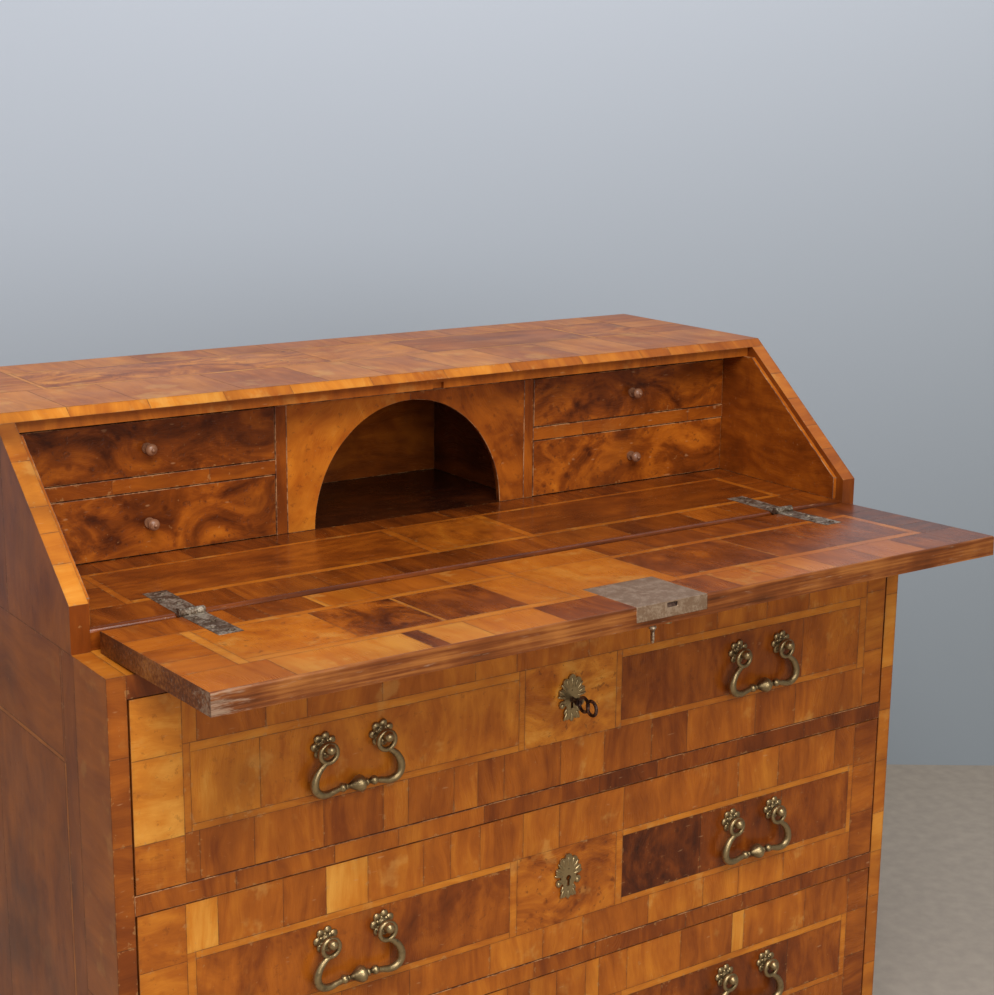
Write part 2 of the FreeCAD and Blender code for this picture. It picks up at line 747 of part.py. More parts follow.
def handle_posts(name, post_z):
    """Both handles' cast plates, each with its stem, its head and the nut that holds it."""
    made = []
    for place_x in handle_places():
        for sign in (-1, 1):
            label = f"{name}_{len(made) + 1}"
            x = place_x + S["post_spread"] * sign
            start = (x, front - S["plate_thick"], post_z)
            lobes = [(ZERO, ZERO, S["plate_ring"])]
            for number in range(PLATE_LOBES):
                angle = sized(360 * number / PLATE_LOBES)
                lobes.append((
                    S["plate_ring"] * sine(angle), S["plate_ring"] * cosine(angle), S["plate_lobe"]
                ))
            plate = lobed_plate(
                label + "_plate",
                ((lambda u, v, s=start: (s[0] + u, s[1], s[2] + v)), "y"), S["plate_thick"], lobes,
            )
            head_far = front - S["head_back"] - S["head_thick"]
            nut_far = lock_front + S["nut_thick"]
            stem = rod(
                label + "_stem", (x, head_far, post_z), S["stem_radius"], nut_far - head_far, "y"
            )
            head = rod(
                label + "_head", (x, head_far, post_z), S["head_radius"], S["head_thick"], "y"
            )
            nut = rod(label + "_nut", (x, lock_front, post_z), S["nut_radius"], S["nut_thick"], "y")
            made.append(fuse(label, [plate, stem, head, nut]))
    return group(name, made)


def handle_places():
    """The middles of a drawer's two handles, which sit a little right with the lock."""
    return (S["brass_shift"] - S["handle_place"], S["brass_shift"] + S["handle_place"])


def bail_shape():
    """A swan-necked bail hanging in X and Z from the line through the tops of its end rings."""
    wide, drop = S["bail_half_width"].value, S["bail_drop"].value
    wire = S["bail_wire"].value
    ring_z = -S["ring_radius"].value
    pieces = []
    for sign in (-1, 1):
        points = [Vector(sign * x * wide, 0, ring_z - z * drop) for x, z in BAIL_SHARES]
        for start, end in zip(points, points[1:]):
            run = end - start
            pieces.append(Part.makeCylinder(wire, run.Length, start, run))
            pieces.append(Part.makeSphere(wire * NECK_BALL_SHARE, start, BALL_POLE))
        centre = Vector(sign * S["post_spread"].value, 0, ring_z)
        pieces.append(Part.makeTorus(
            S["ring_radius"].value, S["ring_wire"].value, centre, Vector(0, 1, 0)
        ))
        bead_z = ring_z - BAIL_SHARES[-1][1] * drop
        pieces.append(Part.makeSphere(
            S["bead_radius"].value, Vector(sign * S["bead_place"].value, 0, bead_z), BALL_POLE
        ))
    knop_z = ring_z - BAIL_SHARES[-1][1] * drop
    knop = Part.makeSphere(S["knop_radius"].value, Vector(0, 0, knop_z), BALL_POLE)
    return pieces[0].fuse(pieces[1:] + [knop]).removeSplitter()


def swing_height(post_z):
    """The line that a bail swings about: the middle of its rings' wire, over the stems."""
    return post_z + S["stem_radius"] + S["ring_seat_gap"] + S["ring_wire"]


def bail(name, x, post_z):
    thing = carve(name, bail_shape())
    place(thing, x, front - S["ring_out"], swing_height(post_z))
    return thing


# Long drawers

def drawer_front(name, low, high, key_z, post_z):
    """A front bored for the key and for the four handle stems."""
    wide = inner - S["drawer_side_gap"]
    plank = block(name + "_plank", (-wide, wide), (front, lock_front), (low, high))
    long = S["front_thick"] + OVER * 2
    tools = [keyhole(name + "_keyhole", drawer_spot(key_z, front - OVER), long)]
    for place_x in handle_places():
        for sign in (-1, 1):
            tools.append(rod(
                f"{name}_bore_{len(tools)}",
                (place_x + S["post_spread"] * sign, front - OVER, post_z),
                S["stem_radius"] + S["stem_fit"], long, "y",
            ))
    return cut(name, plank, tools)


def drawer_box(name, floor, low, high):
    """Two sides, a back and a bottom behind a long drawer's front."""
    outer = inner - S["box_gap"]
    within = outer - S["box_side_thick"]
    far = back_inner - S["box_clear_back"]
    base = floor + S["runner_gap"]
    rim = high - S["box_drop"]
    bottom_low = base + S["box_bottom_rise"]
    made = [
        block(f"{name}_{word}", across(sign, within, outer), (lock_front, far), (base, rim))
        for word, sign in (("left", -1), ("right", 1))
    ]
    made.append(block(
        name + "_back", (-within, within), (far - S["box_back_thick"], far), (bottom_low, rim)
    ))
    made.append(block(
        name + "_bottom", (-within, within), (lock_front, far - S["box_back_thick"]),
        (bottom_low, bottom_low + S["box_bottom_thick"]),
    ))
    return group(name, made)


def long_drawer(number, floor, ceiling, with_key):
    low, high = floor + S["drawer_gap"], ceiling - S["drawer_gap"]
    middle = (low + high) / 2
    key_z = middle
    post_z = middle + S["post_rise"]
    name = f"drawer_{number}"
    part(name + "_front", drawer_front(name + "_board", low, high, key_z, post_z))
    part(name + "_box", drawer_box(name + "_case", floor, low, high))
    part(name + "_escutcheon", escutcheon(
        name + "_shell", drawer_spot(key_z, front - S["escutcheon_thick"]),
        drawer_spot(key_z, front - S["escutcheon_thick"] - OVER),
    ))
    part(name + "_handle_posts", handle_posts(name + "_posts", post_z))
    for word, x in zip(("left", "right"), handle_places()):
        part(f"{name}_bail_{word}", bail(f"{name}_swing_{word}", x, post_z))
    lock = drawer_lock(name + "_lock_box", key_z, high)
    bolt = drawer_bolt(name + "_lock_bolt_bar", key_z, high)
    if with_key:
        part(name + "_lock", lock)
        part(name + "_lock_bolt", bolt)
        part(name + "_key", drawer_key(name + "_key_turned", key_z))
    else:
        part(name + "_lock", group(name + "_lock_set", [lock, bolt]))


# Small drawers

def small_drawer(name, sign, floor, tall):
    gap = S["small_gap"]
    near = S["partition_inner"] + S["partition_thick"]
    low, high = floor + gap, floor + tall - gap
    face_back = gallery_front + S["small_front_thick"]
    part(name + "_front", block(
        name + "_board", across(sign, near + gap, gallery_side - gap),
        (gallery_front, face_back), (low, high),
    ))
    thick = S["small_side_thick"]
    outer_near, outer_far = near + gap, gallery_side - gap
    far = back_inner - S["small_clear_back"]
    base = floor + S["small_seat_gap"]
    rim = high - S["small_drop"]
    wide = across(sign, outer_near + thick, outer_far - thick)
    near_wall = across(sign, outer_near, outer_near + thick)
    far_wall = across(sign, outer_far - thick, outer_far)
    part(name + "_box", group(name + "_case", [
        block(name + "_inner", near_wall, (face_back, far), (base, rim)),
        block(name + "_outer", far_wall, (face_back, far), (base, rim)),
        block(name + "_back", wide, (far - thick, far), (base, rim)),
        block(
            name + "_bottom", wide, (face_back, far - thick), (base, base + S["small_bottom_thick"])
        ),
    ]))
    x = (outer_near + outer_far) / 2 * sign
    z = (low + high) / 2
    reach = gallery_front - S["knob_reach"]
    part(name + "_knob", fuse(name + "_turned", [
        rod(name + "_seat", (x, gallery_front - S["knob_base_thick"], z), S["knob_base_radius"],
            S["knob_base_thick"], "y"),
        rod(name + "_neck", (x, reach, z), S["knob_neck_radius"], S["knob_reach"], "y"),
        ellipsoid(name + "_ball", (x, reach, z), S["knob_half_long"], S["knob_radius"], "y"),
        ellipsoid(
            name + "_tip", (x, reach - S["knob_half_long"], z), S["knob_tip_radius"],
            S["knob_tip_radius"], "y",
        ),
    ]))


# Fall, in its own frame: the hinge line is its X axis, and it lies towards -Y

fall_face = -S["axis_rise"]
fall_under = fall_face - S["fall_thick"]
plate_low = fall_face - S["fall_plate_thick"]
fall_case_low = plate_low - S["fall_lock_thick"]
fall_key_y = S["fall_keyhole_back"] - fall_reach
fall_bolt_low = plate_low - S["bolt_fit"] - S["fall_bolt_thick"]


def on_fall(thing):
    """Lay a piece made in the fall's frame on the open fall."""
    thing.Placement = FreeCAD.Placement(Vector(), Rotation(Vector(1, 0, 0), -S["fall_tilt"].value))
    tie(thing, "Placement.Base.y", axis_y)
    tie(thing, "Placement.Base.z", axis_z)
    thing.setExpression("Placement.Rotation.Angle", f"{S['fall_tilt'].text} * 1 deg")
    thing.setExpression("Placement.Rotation.Axis.x", "-1")
    return thing


def fall_lock_blocks(name, slack):
    """The lock's plate, the strip on the edge and the box, grown by a slack for the mortise."""
    shift = S["brass_shift"]
    half_plate = S["fall_plate_wide"] / 2 + slack
    half_box = S["fall_lock_wide"] / 2 + slack
    edge = -fall_reach
    over = OVER if slack.value else ZERO
    selvedge_low = fall_face - S["selvedge_high"] - slack
    return [
        block(name + "_plate", (shift - half_plate, shift + half_plate),
              (edge - over, edge + S["fall_plate_long"] + slack), (plate_low, fall_face + over)),
        block(name + "_selvedge", (shift - half_plate, shift + half_plate),
              (edge - over, edge + S["fall_plate_thick"]), (selvedge_low, fall_face)),
        block(name + "_box", (shift - half_box, shift + half_box),
              (edge, edge + S["fall_lock_long"] + slack), (fall_case_low - slack, plate_low)),
    ]


def fall_board():
    """The writing fall, with its hinge recesses, its lock's mortise and its keyhole."""
    edge = -fall_reach
    rear = -S["joint_gap"]
    profile = [(edge, fall_under), (edge, fall_face), (rear, fall_face), (rear, fall_under)]
    half_wide = inner - S["fall_side_gap"]
    plank = board("fall_plank", profile, -half_wide, half_wide)
    round_edges(plank, [(edge, fall_face), (rear, fall_face)], S["nosing_radius"] * FALL_ROUND_SHARE)
    tools = leaf_cuts("fall", ZERO, fall_face, -1)
    tools += fall_lock_blocks("fall_mortise", S["strap_fit"])
    tools.append(keyhole("fall_keyhole", fall_spot(fall_under - OVER), S["fall_thick"]))
    return cut("fall", plank, tools)


def fall_lock():
    """Plate, strip and box in one, with room for the bit and a channel for the bolt."""
    shift = S["brass_shift"]
    play = S["bolt_fit"]
    edge = -fall_reach
    room = rod(
        "fall_lock_room", (shift, fall_key_y, fall_case_low - OVER),
        S["bit_reach"] + S["bit_fit"], fall_bolt_low - fall_case_low - play + OVER, "z",
    )
    channel = block(
        "fall_lock_channel",
        (shift - S["fall_bolt_wide"] / 2 - play, shift + S["fall_bolt_wide"] / 2 + play),
        (edge - OVER, edge + S["fall_bolt_long"] + play), (fall_bolt_low - play, plate_low),
    )
    whole = fuse("fall_lock_whole", fall_lock_blocks("fall_lock", ZERO))
    return cut("fall_lock_set", whole, [room, channel])


def fall_bolt():
    shift = S["brass_shift"]
    half_wide = S["fall_bolt_wide"] / 2
    return group("fall_bolt_set", [block(
        "fall_bolt_bar", (shift - half_wide, shift + half_wide),
        (-fall_reach, S["fall_bolt_long"] - fall_reach),
        (fall_bolt_low, fall_bolt_low + S["fall_bolt_thick"]),
    )])


def fall_key():
    """The fall's key, in from outside and so hanging under the open fall."""
    shift = S["brass_shift"]
    bow_low = fall_under - S["fall_key_out"] + S["bow_wire"]
    bow_z = bow_low + S["bow_radius"]
    bow_end = bow_z + S["bow_radius"]
    tip = fall_case_low + S["bit_inset"] + S["bit_long"]
    half_bit = S["bit_thick"] / 2
    return fuse("fall_key_whole", [
        rod("fall_key_shank", (shift, fall_key_y, bow_end), S["shank_radius"], tip - bow_end, "z"),
        rod("fall_key_collar", (shift, fall_key_y, bow_end), S["collar_radius"], S["collar_long"], "z"),
        block("fall_key_bit", (shift - half_bit, shift + half_bit),
              (fall_key_y, fall_key_y + S["bit_reach"]), (tip - S["bit_long"], tip)),
        ring("fall_key_bow", (shift, fall_key_y, bow_z), S["bow_radius"], S["bow_wire"], "x"),
    ])


def make_case():
    for label, thing in zip(("side_left", "side_right"), sides("case_side", case_side)):
        part(label, thing)
    part("top_board", top_board())
    part("back_panel", block(
        "back_plank", (-inner, inner), (back_inner, back), (case_low, under_top)
    ))
    part("bottom_board", block(
        "bottom_plank", (-inner, inner), (front, back_inner), (case_low, floor_lower)
    ))
    part("plinth", plinth())
    part("bun_feet", group("feet", [
        bun_foot(f"foot_{number}", x, y) for number, (x, y) in enumerate(foot_spots, start=1)
    ]))
    part("writing_board", writing_board())
    rail_depth = S["stub_setback"] + S["upper_rail_lap"]
    part("upper_rail", case_rail("ledge_rail", ceiling_upper, ledge, rail_depth))
    part("drawer_rails", group("rails", [
        case_rail("rail_middle", ceiling_middle, floor_upper, S["rail_deep"]),
        case_rail("rail_lower", ceiling_lower, floor_middle, S["rail_deep"]),
    ]))
    part("drawer_runners", runner_set())
    part("case_hinge_straps", group("case_straps", (
        straps("case_strap", axis_y, axis_z, 1, False) + nails("case_nail", axis_y, axis_z, 1)
    )))
    part("hinge_pins", hinge_pins())


def make_gallery():
    part("cheek_liners", group("liners", sides("liner", cheek_liner)))
    part("gallery_rail", block(
        "gallery_rail_bar", (-gallery_side, gallery_side),
        (gallery_front, gallery_front + S["gallery_rail_thick"]), (gallery_rail_low, under_top),
    ))
    part("gallery_partitions", group("partitions", sides("partition", partition)))
    part("gallery_shelves", group("shelves", sides("shelf", shelf)))
    part("arch_panel", arch_panel())
    far = back_inner - S["pigeon_back_gap"]
    part("pigeonhole_back", block(
        "pigeon_panel", (-S["partition_inner"], S["partition_inner"]),
        (far - S["pigeon_back_thick"], far), (desk, under_top),
    ))
    for word, sign in (("left", -1), ("right", 1)):
        small_drawer(f"small_drawer_upper_{word}", sign, upper_small_low, S["upper_small_tall"])
        small_drawer(f"small_drawer_lower_{word}", sign, desk, S["lower_small_tall"])


def make_fall():
    part("fall_board", on_fall(fall_board()))
    part("fall_hinge_straps", on_fall(group("fall_straps", (
        straps("fall_strap", ZERO, ZERO, -1, True) + nails("fall_nail", ZERO, ZERO, -1)
    ))))
    part("fall_lock", on_fall(fall_lock()))
    part("fall_lock_bolt", on_fall(fall_bolt()))
    part("fall_key", on_fall(fall_key()))
    plate_z = fall_under - S["escutcheon_thick"]
    part("fall_escutcheon", on_fall(
        escutcheon("fall_shell", fall_spot(plate_z), fall_spot(plate_z - OVER))
    ))


def make_drawers():
    levels = (
        (1, floor_upper, ceiling_upper, True), (2, floor_middle, ceiling_middle, False),
        (3, floor_lower, ceiling_lower, False),
    )
    for number, floor, ceiling, with_key in levels:
        long_drawer(number, floor, ceiling, with_key)


def check_and_write():
    doc.recompute()
    for thing in doc.Objects:
        wrong = [state for state in thing.State if state in ("Invalid", "Error")]
        if wrong:
            raise RuntimeError(f"{thing.Label} is {wrong}")
    os.makedirs("parts", exist_ok=True)
    for thing in parts:
        shape = thing.Shape
        if shape.isNull() or not shape.isValid() or not shape.Solids:
            raise RuntimeError(f"{thing.Label} has no valid solid")
    for thing in parts:
        thing.Shape.exportStep(f"parts/{thing.Label}.step")
        print(thing.Label, len(thing.Shape.Solids), "solids")


make_case()
make_gallery()
make_fall()
make_drawers()
check_and_write()
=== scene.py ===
import json
import math
import random
from collections import namedtuple

import bmesh
import bpy
from mathutils import Matrix, Vector


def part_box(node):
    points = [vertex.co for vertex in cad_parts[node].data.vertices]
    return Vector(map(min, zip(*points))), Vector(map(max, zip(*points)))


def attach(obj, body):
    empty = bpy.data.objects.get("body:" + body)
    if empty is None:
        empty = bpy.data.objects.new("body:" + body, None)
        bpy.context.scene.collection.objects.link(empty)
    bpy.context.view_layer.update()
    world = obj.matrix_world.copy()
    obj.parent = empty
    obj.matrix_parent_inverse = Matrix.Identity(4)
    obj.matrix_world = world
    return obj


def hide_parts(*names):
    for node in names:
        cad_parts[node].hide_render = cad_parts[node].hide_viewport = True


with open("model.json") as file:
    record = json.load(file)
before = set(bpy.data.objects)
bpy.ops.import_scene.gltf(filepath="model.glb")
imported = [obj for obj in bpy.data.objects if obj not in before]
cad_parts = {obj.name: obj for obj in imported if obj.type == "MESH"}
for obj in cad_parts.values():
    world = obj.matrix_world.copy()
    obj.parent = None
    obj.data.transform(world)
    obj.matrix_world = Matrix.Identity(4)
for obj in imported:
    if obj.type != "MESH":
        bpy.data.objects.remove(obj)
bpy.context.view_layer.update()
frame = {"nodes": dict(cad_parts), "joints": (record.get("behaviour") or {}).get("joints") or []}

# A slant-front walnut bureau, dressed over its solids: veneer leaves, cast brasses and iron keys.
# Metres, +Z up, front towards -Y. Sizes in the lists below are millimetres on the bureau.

nodes = frame["nodes"]

MM = 0.001
WELD = 1e-5
FLAT = math.radians(1)
EAST = Vector((1, 0, 0))
NORTH = Vector((0, 1, 0))
UP = Vector((0, 0, 1))
chance = random.Random(1720)


def mm(*values):
    return Vector([value * MM for value in values])


# Shader values

class Value:
    """A shader output whose arithmetic adds Math nodes."""

    def __init__(self, look, socket):
        self.look = look
        self.socket = socket

    def maths(self, operation, *others):
        return self.look.node("ShaderNodeMath", {"operation": operation}, [self, *others])[0]

    def __add__(self, other):
        return self.maths("ADD", other)

    def __sub__(self, other):
        return self.maths("SUBTRACT", other)

    def __rsub__(self, other):
        return self.look.node("ShaderNodeMath", {"operation": "SUBTRACT"}, [other, self])[0]

    def __mul__(self, other):
        return self.maths("MULTIPLY", other)

    __radd__ = __add__
    __rmul__ = __mul__


class Outputs:
    """The outputs of a node, each as a Value."""

    def __init__(self, look, made):
        self.look = look
        self.made = made

    def __getitem__(self, place):
        return Value(self.look, self.made.outputs[place])


class Look:
    """One material and the nodes that make its finish."""

    def __init__(self, name):
        self.material = bpy.data.materials.new(name)
        self.material.use_nodes = True
        self.tree = self.material.node_tree
        self.shader = self.tree.nodes["Principled BSDF"]

    def feed(self, socket, value):
        if isinstance(value, Value):
            self.tree.links.new(value.socket, socket)
        else:
            socket.default_value = value

    def node(self, kind, settings=None, values=None):
        """A node with its settings made first, then its sockets fed or set."""
        made = self.tree.nodes.new(kind)
        for name, setting in (settings or {}).items():
            if name == "stops":
                set_stops(made.color_ramp, setting)
            else:
                setattr(made, name, setting)
        places = values.items() if isinstance(values, dict) else enumerate(values or [])
        for place, value in places:
            self.feed(made.inputs[place], value)
        return Outputs(self, made)

    def noise(self, place, scale=1.0, detail=2.0, roughness=0.5, distortion=0.0):
        values = {
            "Vector": place, "Scale": scale, "Detail": detail, "Roughness": roughness,
            "Distortion": distortion,
        }
        return self.node("ShaderNodeTexNoise", None, values)[0]

    def vector(self, x, y, z):
        return self.node("ShaderNodeCombineXYZ", None, [x, y, z])[0]

    def split(self, vector):
        made = self.node("ShaderNodeSeparateXYZ", None, [vector])
        return made[0], made[1], made[2]

    def stretched(self, place, x, y, z):
        """A place with each axis multiplied by its own number."""
        made = self.node("ShaderNodeVectorMath", {"operation": "MULTIPLY"}, [place, (x, y, z)])
        return made[0]

    def object_place(self):
        return self.node("ShaderNodeTexCoord")["Object"]

    def ramp(self, value, stops):
        return self.node("ShaderNodeValToRGB", {"stops": stops}, [value])[0]

    def blend(self, share, under, over):
        """The under colour, and the over colour in its place where share is 1."""
        return self.node("ShaderNodeMix", {"data_type": "RGBA"}, {0: share, 6: under, 7: over})[2]

    def between(self, value, low, high):
        """Smoothly 0 below low and 1 above high."""
        values = {"Value": value, "From Min": low, "From Max": high}
        return self.node("ShaderNodeMapRange", {"interpolation_type": "SMOOTHSTEP"}, values)[0]

    def bump(self, height, strength, distance):
        values = {"Height": height, "Strength": strength, "Distance": distance}
        return self.node("ShaderNodeBump", None, values)[0]

    def finish(self, **sockets):
        """Feed the shader's sockets by name, with _ for a space."""
        for name, value in sockets.items():
            self.feed(self.shader.inputs[name.replace("_", " ")], value)
        return self.material


def set_stops(ramp, stops):
    while len(ramp.elements) < len(stops):
        ramp.elements.new(1.0)
    for element, (place, colour) in zip(ramp.elements, stops):
        element.position = place
        element.color = (*colour, 1.0)


# Wood

WALNUT_STOPS = (
    (0.0, (0.016, 0.004, 0.002)),
    (0.2, (0.080, 0.016, 0.003)),
    (0.4, (0.205, 0.045, 0.005)),
    (0.6, (0.390, 0.104, 0.009)),
    (0.8, (0.590, 0.200, 0.018)),
    (1.0, (0.760, 0.360, 0.060)),
)


def walnut(name, age=0.0, gloss=0.30, contrast=1.0, coat=0.16, stain=0.0):
    """Polished walnut veneer. Each leaf's tone, figure and joints come from its own attributes."""
    look = Look(name)
    leaf = look.node("ShaderNodeAttribute", {"attribute_name": "leaf"})
    parted = look.node("ShaderNodeSeparateColor", None, [leaf["Color"]])
    tone, seed, half_u, half_v = parted[0], parted[1], parted[2], leaf["Alpha"]
    burl = look.node("ShaderNodeAttribute", {"attribute_name": "burl"})["Fac"]
    along, across, _ = look.split(look.node("ShaderNodeUVMap", {"uv_map": "grain"})[0])
    span_u, span_v, _ = look.split(look.node("ShaderNodeUVMap", {"uv_map": "span"})[0])
    leaf_shift = seed * 61.0

    sway = look.noise(look.vector(along * 8.0, across * 14.0, leaf_shift), detail=2.0)
    bent = across + (sway - 0.5) * 0.06
    streaks = look.noise(look.vector(along * 10.0, bent * 70.0, leaf_shift), detail=4.0, roughness=0.6)
    pores = look.noise(look.vector(along * 60.0, bent * 1100.0, leaf_shift), detail=1.0)
    swirl_place = look.vector(along * 11.0, across * 17.0, leaf_shift)
    swirl = look.noise(swirl_place, detail=5.0, roughness=0.60, distortion=1.7)
    mottle = look.noise(look.vector(along * 16.0, across * 22.0, leaf_shift + 7.0), detail=3.0)
    eye_settings = {"voronoi_dimensions": "3D", "feature": "F1"}
    eye_values = {"Vector": look.vector(along, across, leaf_shift), "Scale": 42.0}
    eyes = look.node("ShaderNodeTexVoronoi", eye_settings, eye_values)["Distance"]
    knots = 1 - look.between(eyes, 0.08, 0.24)

    straight = (streaks - 0.5) * (0.42 * contrast)
    curled = (swirl - 0.5) * (1.35 * contrast) - knots * 0.14
    figure = straight * (1 - burl) + curled * burl
    level = tone + figure + (pores - 0.5) * 0.07 + (mottle - 0.5) * (0.40 * contrast)
    stained = look.between(level, 0.30, 0.75) * stain
    wood = look.blend(stained, look.ramp(level, WALNUT_STOPS), (0.42, 0.085, 0.004, 1.0))

    edge_u = (1 - span_u.maths("ABSOLUTE")) * half_u
    edge_v = (1 - span_v.maths("ABSOLUTE")) * half_v
    edge = edge_u.maths("MINIMUM", edge_v)
    wander = (look.noise(look.object_place(), scale=90.0, detail=1.0) - 0.5) * 0.0009
    joint = 1 - look.between(edge + wander, 0.0, 0.0007)
    near_joint = 1 - look.between(edge, 0.0, 0.005)

    grime = look.noise(look.object_place(), scale=7.0, detail=3.0, roughness=0.6)
    soiled = look.between(grime, 0.45, 0.75) * (0.25 + age) + near_joint * 0.10
    wood = look.blend(soiled, wood, (0.075, 0.018, 0.005, 1.0))
    worn = look.noise(look.object_place(), scale=19.0, detail=4.0, roughness=0.62)
    bare = look.between(worn, 0.58, 0.68) * look.between(tone, 0.45, 0.62) * 0.28
    wood = look.blend(bare, wood, (0.66, 0.36, 0.09, 1.0))
    lifting = look.noise(look.object_place(), scale=120.0, detail=3.0, roughness=0.7)
    chipped = look.between(lifting + (near_joint - 0.5) * 0.12, 0.62, 0.68) * 0.42
    wood = look.blend(chipped, wood, (0.44, 0.22, 0.075, 1.0))
    pitted = look.between(0 - lifting, -0.40, -0.33) * (0.06 + burl * 0.60)
    wood = look.blend(pitted, wood, (0.085, 0.022, 0.006, 1.0))
    wood = look.blend(joint * 0.6, wood, (0.040, 0.012, 0.004, 1.0))

    scratch_place = look.stretched(look.object_place(), 60.0, 900.0, 260.0)
    scratches = look.noise(scratch_place, detail=0.0)
    scored = look.between(scratches, 0.80, 0.88) * 0.35
    wood = look.blend(scored, wood, (0.55, 0.30, 0.14, 1.0))

    smear = look.noise(look.object_place(), scale=11.0, detail=4.0)
    roughness = gloss + (smear - 0.5) * 0.22 + joint * 0.2 + (pores - 0.5) * 0.08
    relief = pores * 0.25 + streaks * 0.2 - joint * 1.5 + smear * 1.3 - chipped - pitted
    normal = look.bump(relief, 0.35, 0.0006)
    look.finish(Coat_Weight=coat, Coat_Roughness=0.14, Specular_IOR_Level=0.20)
    return look.finish(Base_Color=wood, Roughness=roughness, Normal=normal)


def worn_arris(name, pale, dark):
    """The rubbed edge of a veneered board, where polish and colour have gone in places."""
    look = Look(name)
    place = look.object_place()
    patches = look.noise(place, scale=38.0, detail=4.0, roughness=0.65)
    nicks = look.noise(place, scale=210.0, detail=2.0)
    rubbed = look.between(patches + (nicks - 0.5) * 0.35, 0.42, 0.62)
    colour = look.blend(rubbed, dark, pale)
    normal = look.bump(nicks + patches, 0.4, 0.0008)
    return look.finish(Base_Color=colour, Roughness=0.42 - rubbed * 0.08, Normal=normal)


def scuffed_edge(name):
    """The fall's front edge, brown and knocked, worn grey at its left corner."""
    look = Look(name)
    place = look.object_place()
    along, ahead, _ = look.split(place)
    corner = look.between(0 - along, 0.462, 0.532) * look.between(0 - ahead, 0.33, 0.375)
    knocks = look.noise(look.stretched(place, 26.0, 160.0, 210.0), detail=5.0, roughness=0.7)
    grain = look.noise(look.stretched(place, 9.0, 300.0, 300.0), detail=3.0)
    blotch = look.noise(place, scale=14.0, detail=3.0)
    brown = look.ramp(
        grain * 0.5 + blotch * 0.5,
        ((0.35, (0.07, 0.018, 0.004)), (0.50, (0.17, 0.045, 0.009)), (0.65, (0.34, 0.12, 0.026))),
    )
    pale = look.between(knocks + corner * 0.20, 0.58, 0.76)
    colour = look.blend(pale * 0.7, brown, (0.36, 0.24, 0.16, 1.0))
    normal = look.bump(knocks + grain * 0.4, 0.6, 0.0012)
    look.finish(Specular_IOR_Level=0.25)
    return look.finish(Base_Color=colour, Roughness=0.36 + pale * 0.16, Normal=normal)


def plain_wood(name, light, dark, gloss, stretch):
    """Unveneered boards: inside faces, back and runners. stretch draws the grain out."""
    look = Look(name)
    place = look.object_place()
    drawn = look.stretched(place, *stretch)
    rings = look.noise(drawn, scale=1.0, detail=5.0, roughness=0.6, distortion=0.4)
    dust = look.noise(place, scale=6.0, detail=3.0)
    wood = look.ramp(rings, ((0.25, dark), (0.75, light)))
    wood = look.blend(look.between(dust, 0.4, 0.8) * 0.5, wood, (*(c * 0.45 for c in dark), 1.0))
    normal = look.bump(rings, 0.3, 0.0008)
    return look.finish(Base_Color=wood, Roughness=gloss + (dust - 0.5) * 0.15, Normal=normal)


# Metal

def aged_brass(name):
    """Cast brass gone olive-brown, bright where hands have rubbed its high places."""
    look = Look(name)
    place = look.object_place()
    tarnish = look.noise(place, scale=120.0, detail=4.0, roughness=0.65)
    pits = look.noise(place, scale=900.0, detail=2.0)
    height = look.node("ShaderNodeNewGeometry")["Pointiness"]
    rubbed = look.between(height + (tarnish - 0.5) * 0.10, 0.47, 0.56)
    colour = look.blend(rubbed, (0.085, 0.055, 0.024, 1.0), (0.38, 0.28, 0.14, 1.0))
    dirt = look.between(tarnish, 0.52, 0.72)
    colour = look.blend(dirt * 0.6, colour, (0.060, 0.042, 0.024, 1.0))
    normal = look.bump(pits * 0.6 + tarnish, 0.35, 0.0006)
    roughness = 0.46 - rubbed * 0.14 + (pits - 0.5) * 0.12
    return look.finish(Base_Color=colour, Metallic=0.9, Roughness=roughness, Normal=normal)


def old_iron(name, light, dark, gloss=0.48):
    """Hinge leaves, lock plates and keys: worn iron with brown rust and bright rubbed spots."""
    look = Look(name)
    place = look.object_place()
    rust = look.noise(place, scale=75.0, detail=5.0, roughness=0.7)
    pits = look.noise(place, scale=420.0, detail=3.0)
    worn = look.between(rust + (pits - 0.5) * 0.5, 0.42, 0.66)
    colour = look.blend(worn, dark, light)
    normal = look.bump(pits + rust * 0.5, 0.5, 0.0007)
    return look.finish(
        Base_Color=colour, Metallic=0.75, Roughness=gloss + (pits - 0.5) * 0.3, Normal=normal
    )


# Veneer leaves: a panel is cut along their joints, and each face is told its leaf

# A leaf has its place on the panel, its tone from 0 dark to 1 pale, the turn of its grain in
# degrees and its share of burl. A panel has a plane, its leaves and the slot of their finish.
Leaf = namedtuple("Leaf", "u0 u1 v0 v1 tone turn burl", defaults=(0, 0.0))
Panel = namedtuple("Panel", "origin along up leaves finish", defaults=(0,))

LIGHT_STRING = 0.76
ACROSS = 90
STRAIGHT_ON = 0.999
PLANE_SLACK = 0.4 * MM


def row(cuts, v0, v1, tones, turn=ACROSS, burl=0.0):
    """Leaves side by side along U, one between each pair of cuts."""
    spans = zip(cuts, cuts[1:], tones)
    return [Leaf(u0, u1, v0, v1, tone, turn, burl) for u0, u1, tone in spans]


def column(u0, u1, cuts, tones, turn=0, burl=0.0):
    """Leaves one over another along V."""
    spans = zip(cuts, cuts[1:], tones)
    return [Leaf(u0, u1, v0, v1, tone, turn, burl) for v0, v1, tone in spans]


def fields(start, v0, v1, pieces):
    """Upright-grained leaves from a start along U. Each piece is its end, tone and burl."""
    leaves = []
    for stop, tone, burl in pieces:
        leaves.append(Leaf(start, stop, v0, v1, tone, ACROSS, burl))
        start = stop
    return leaves


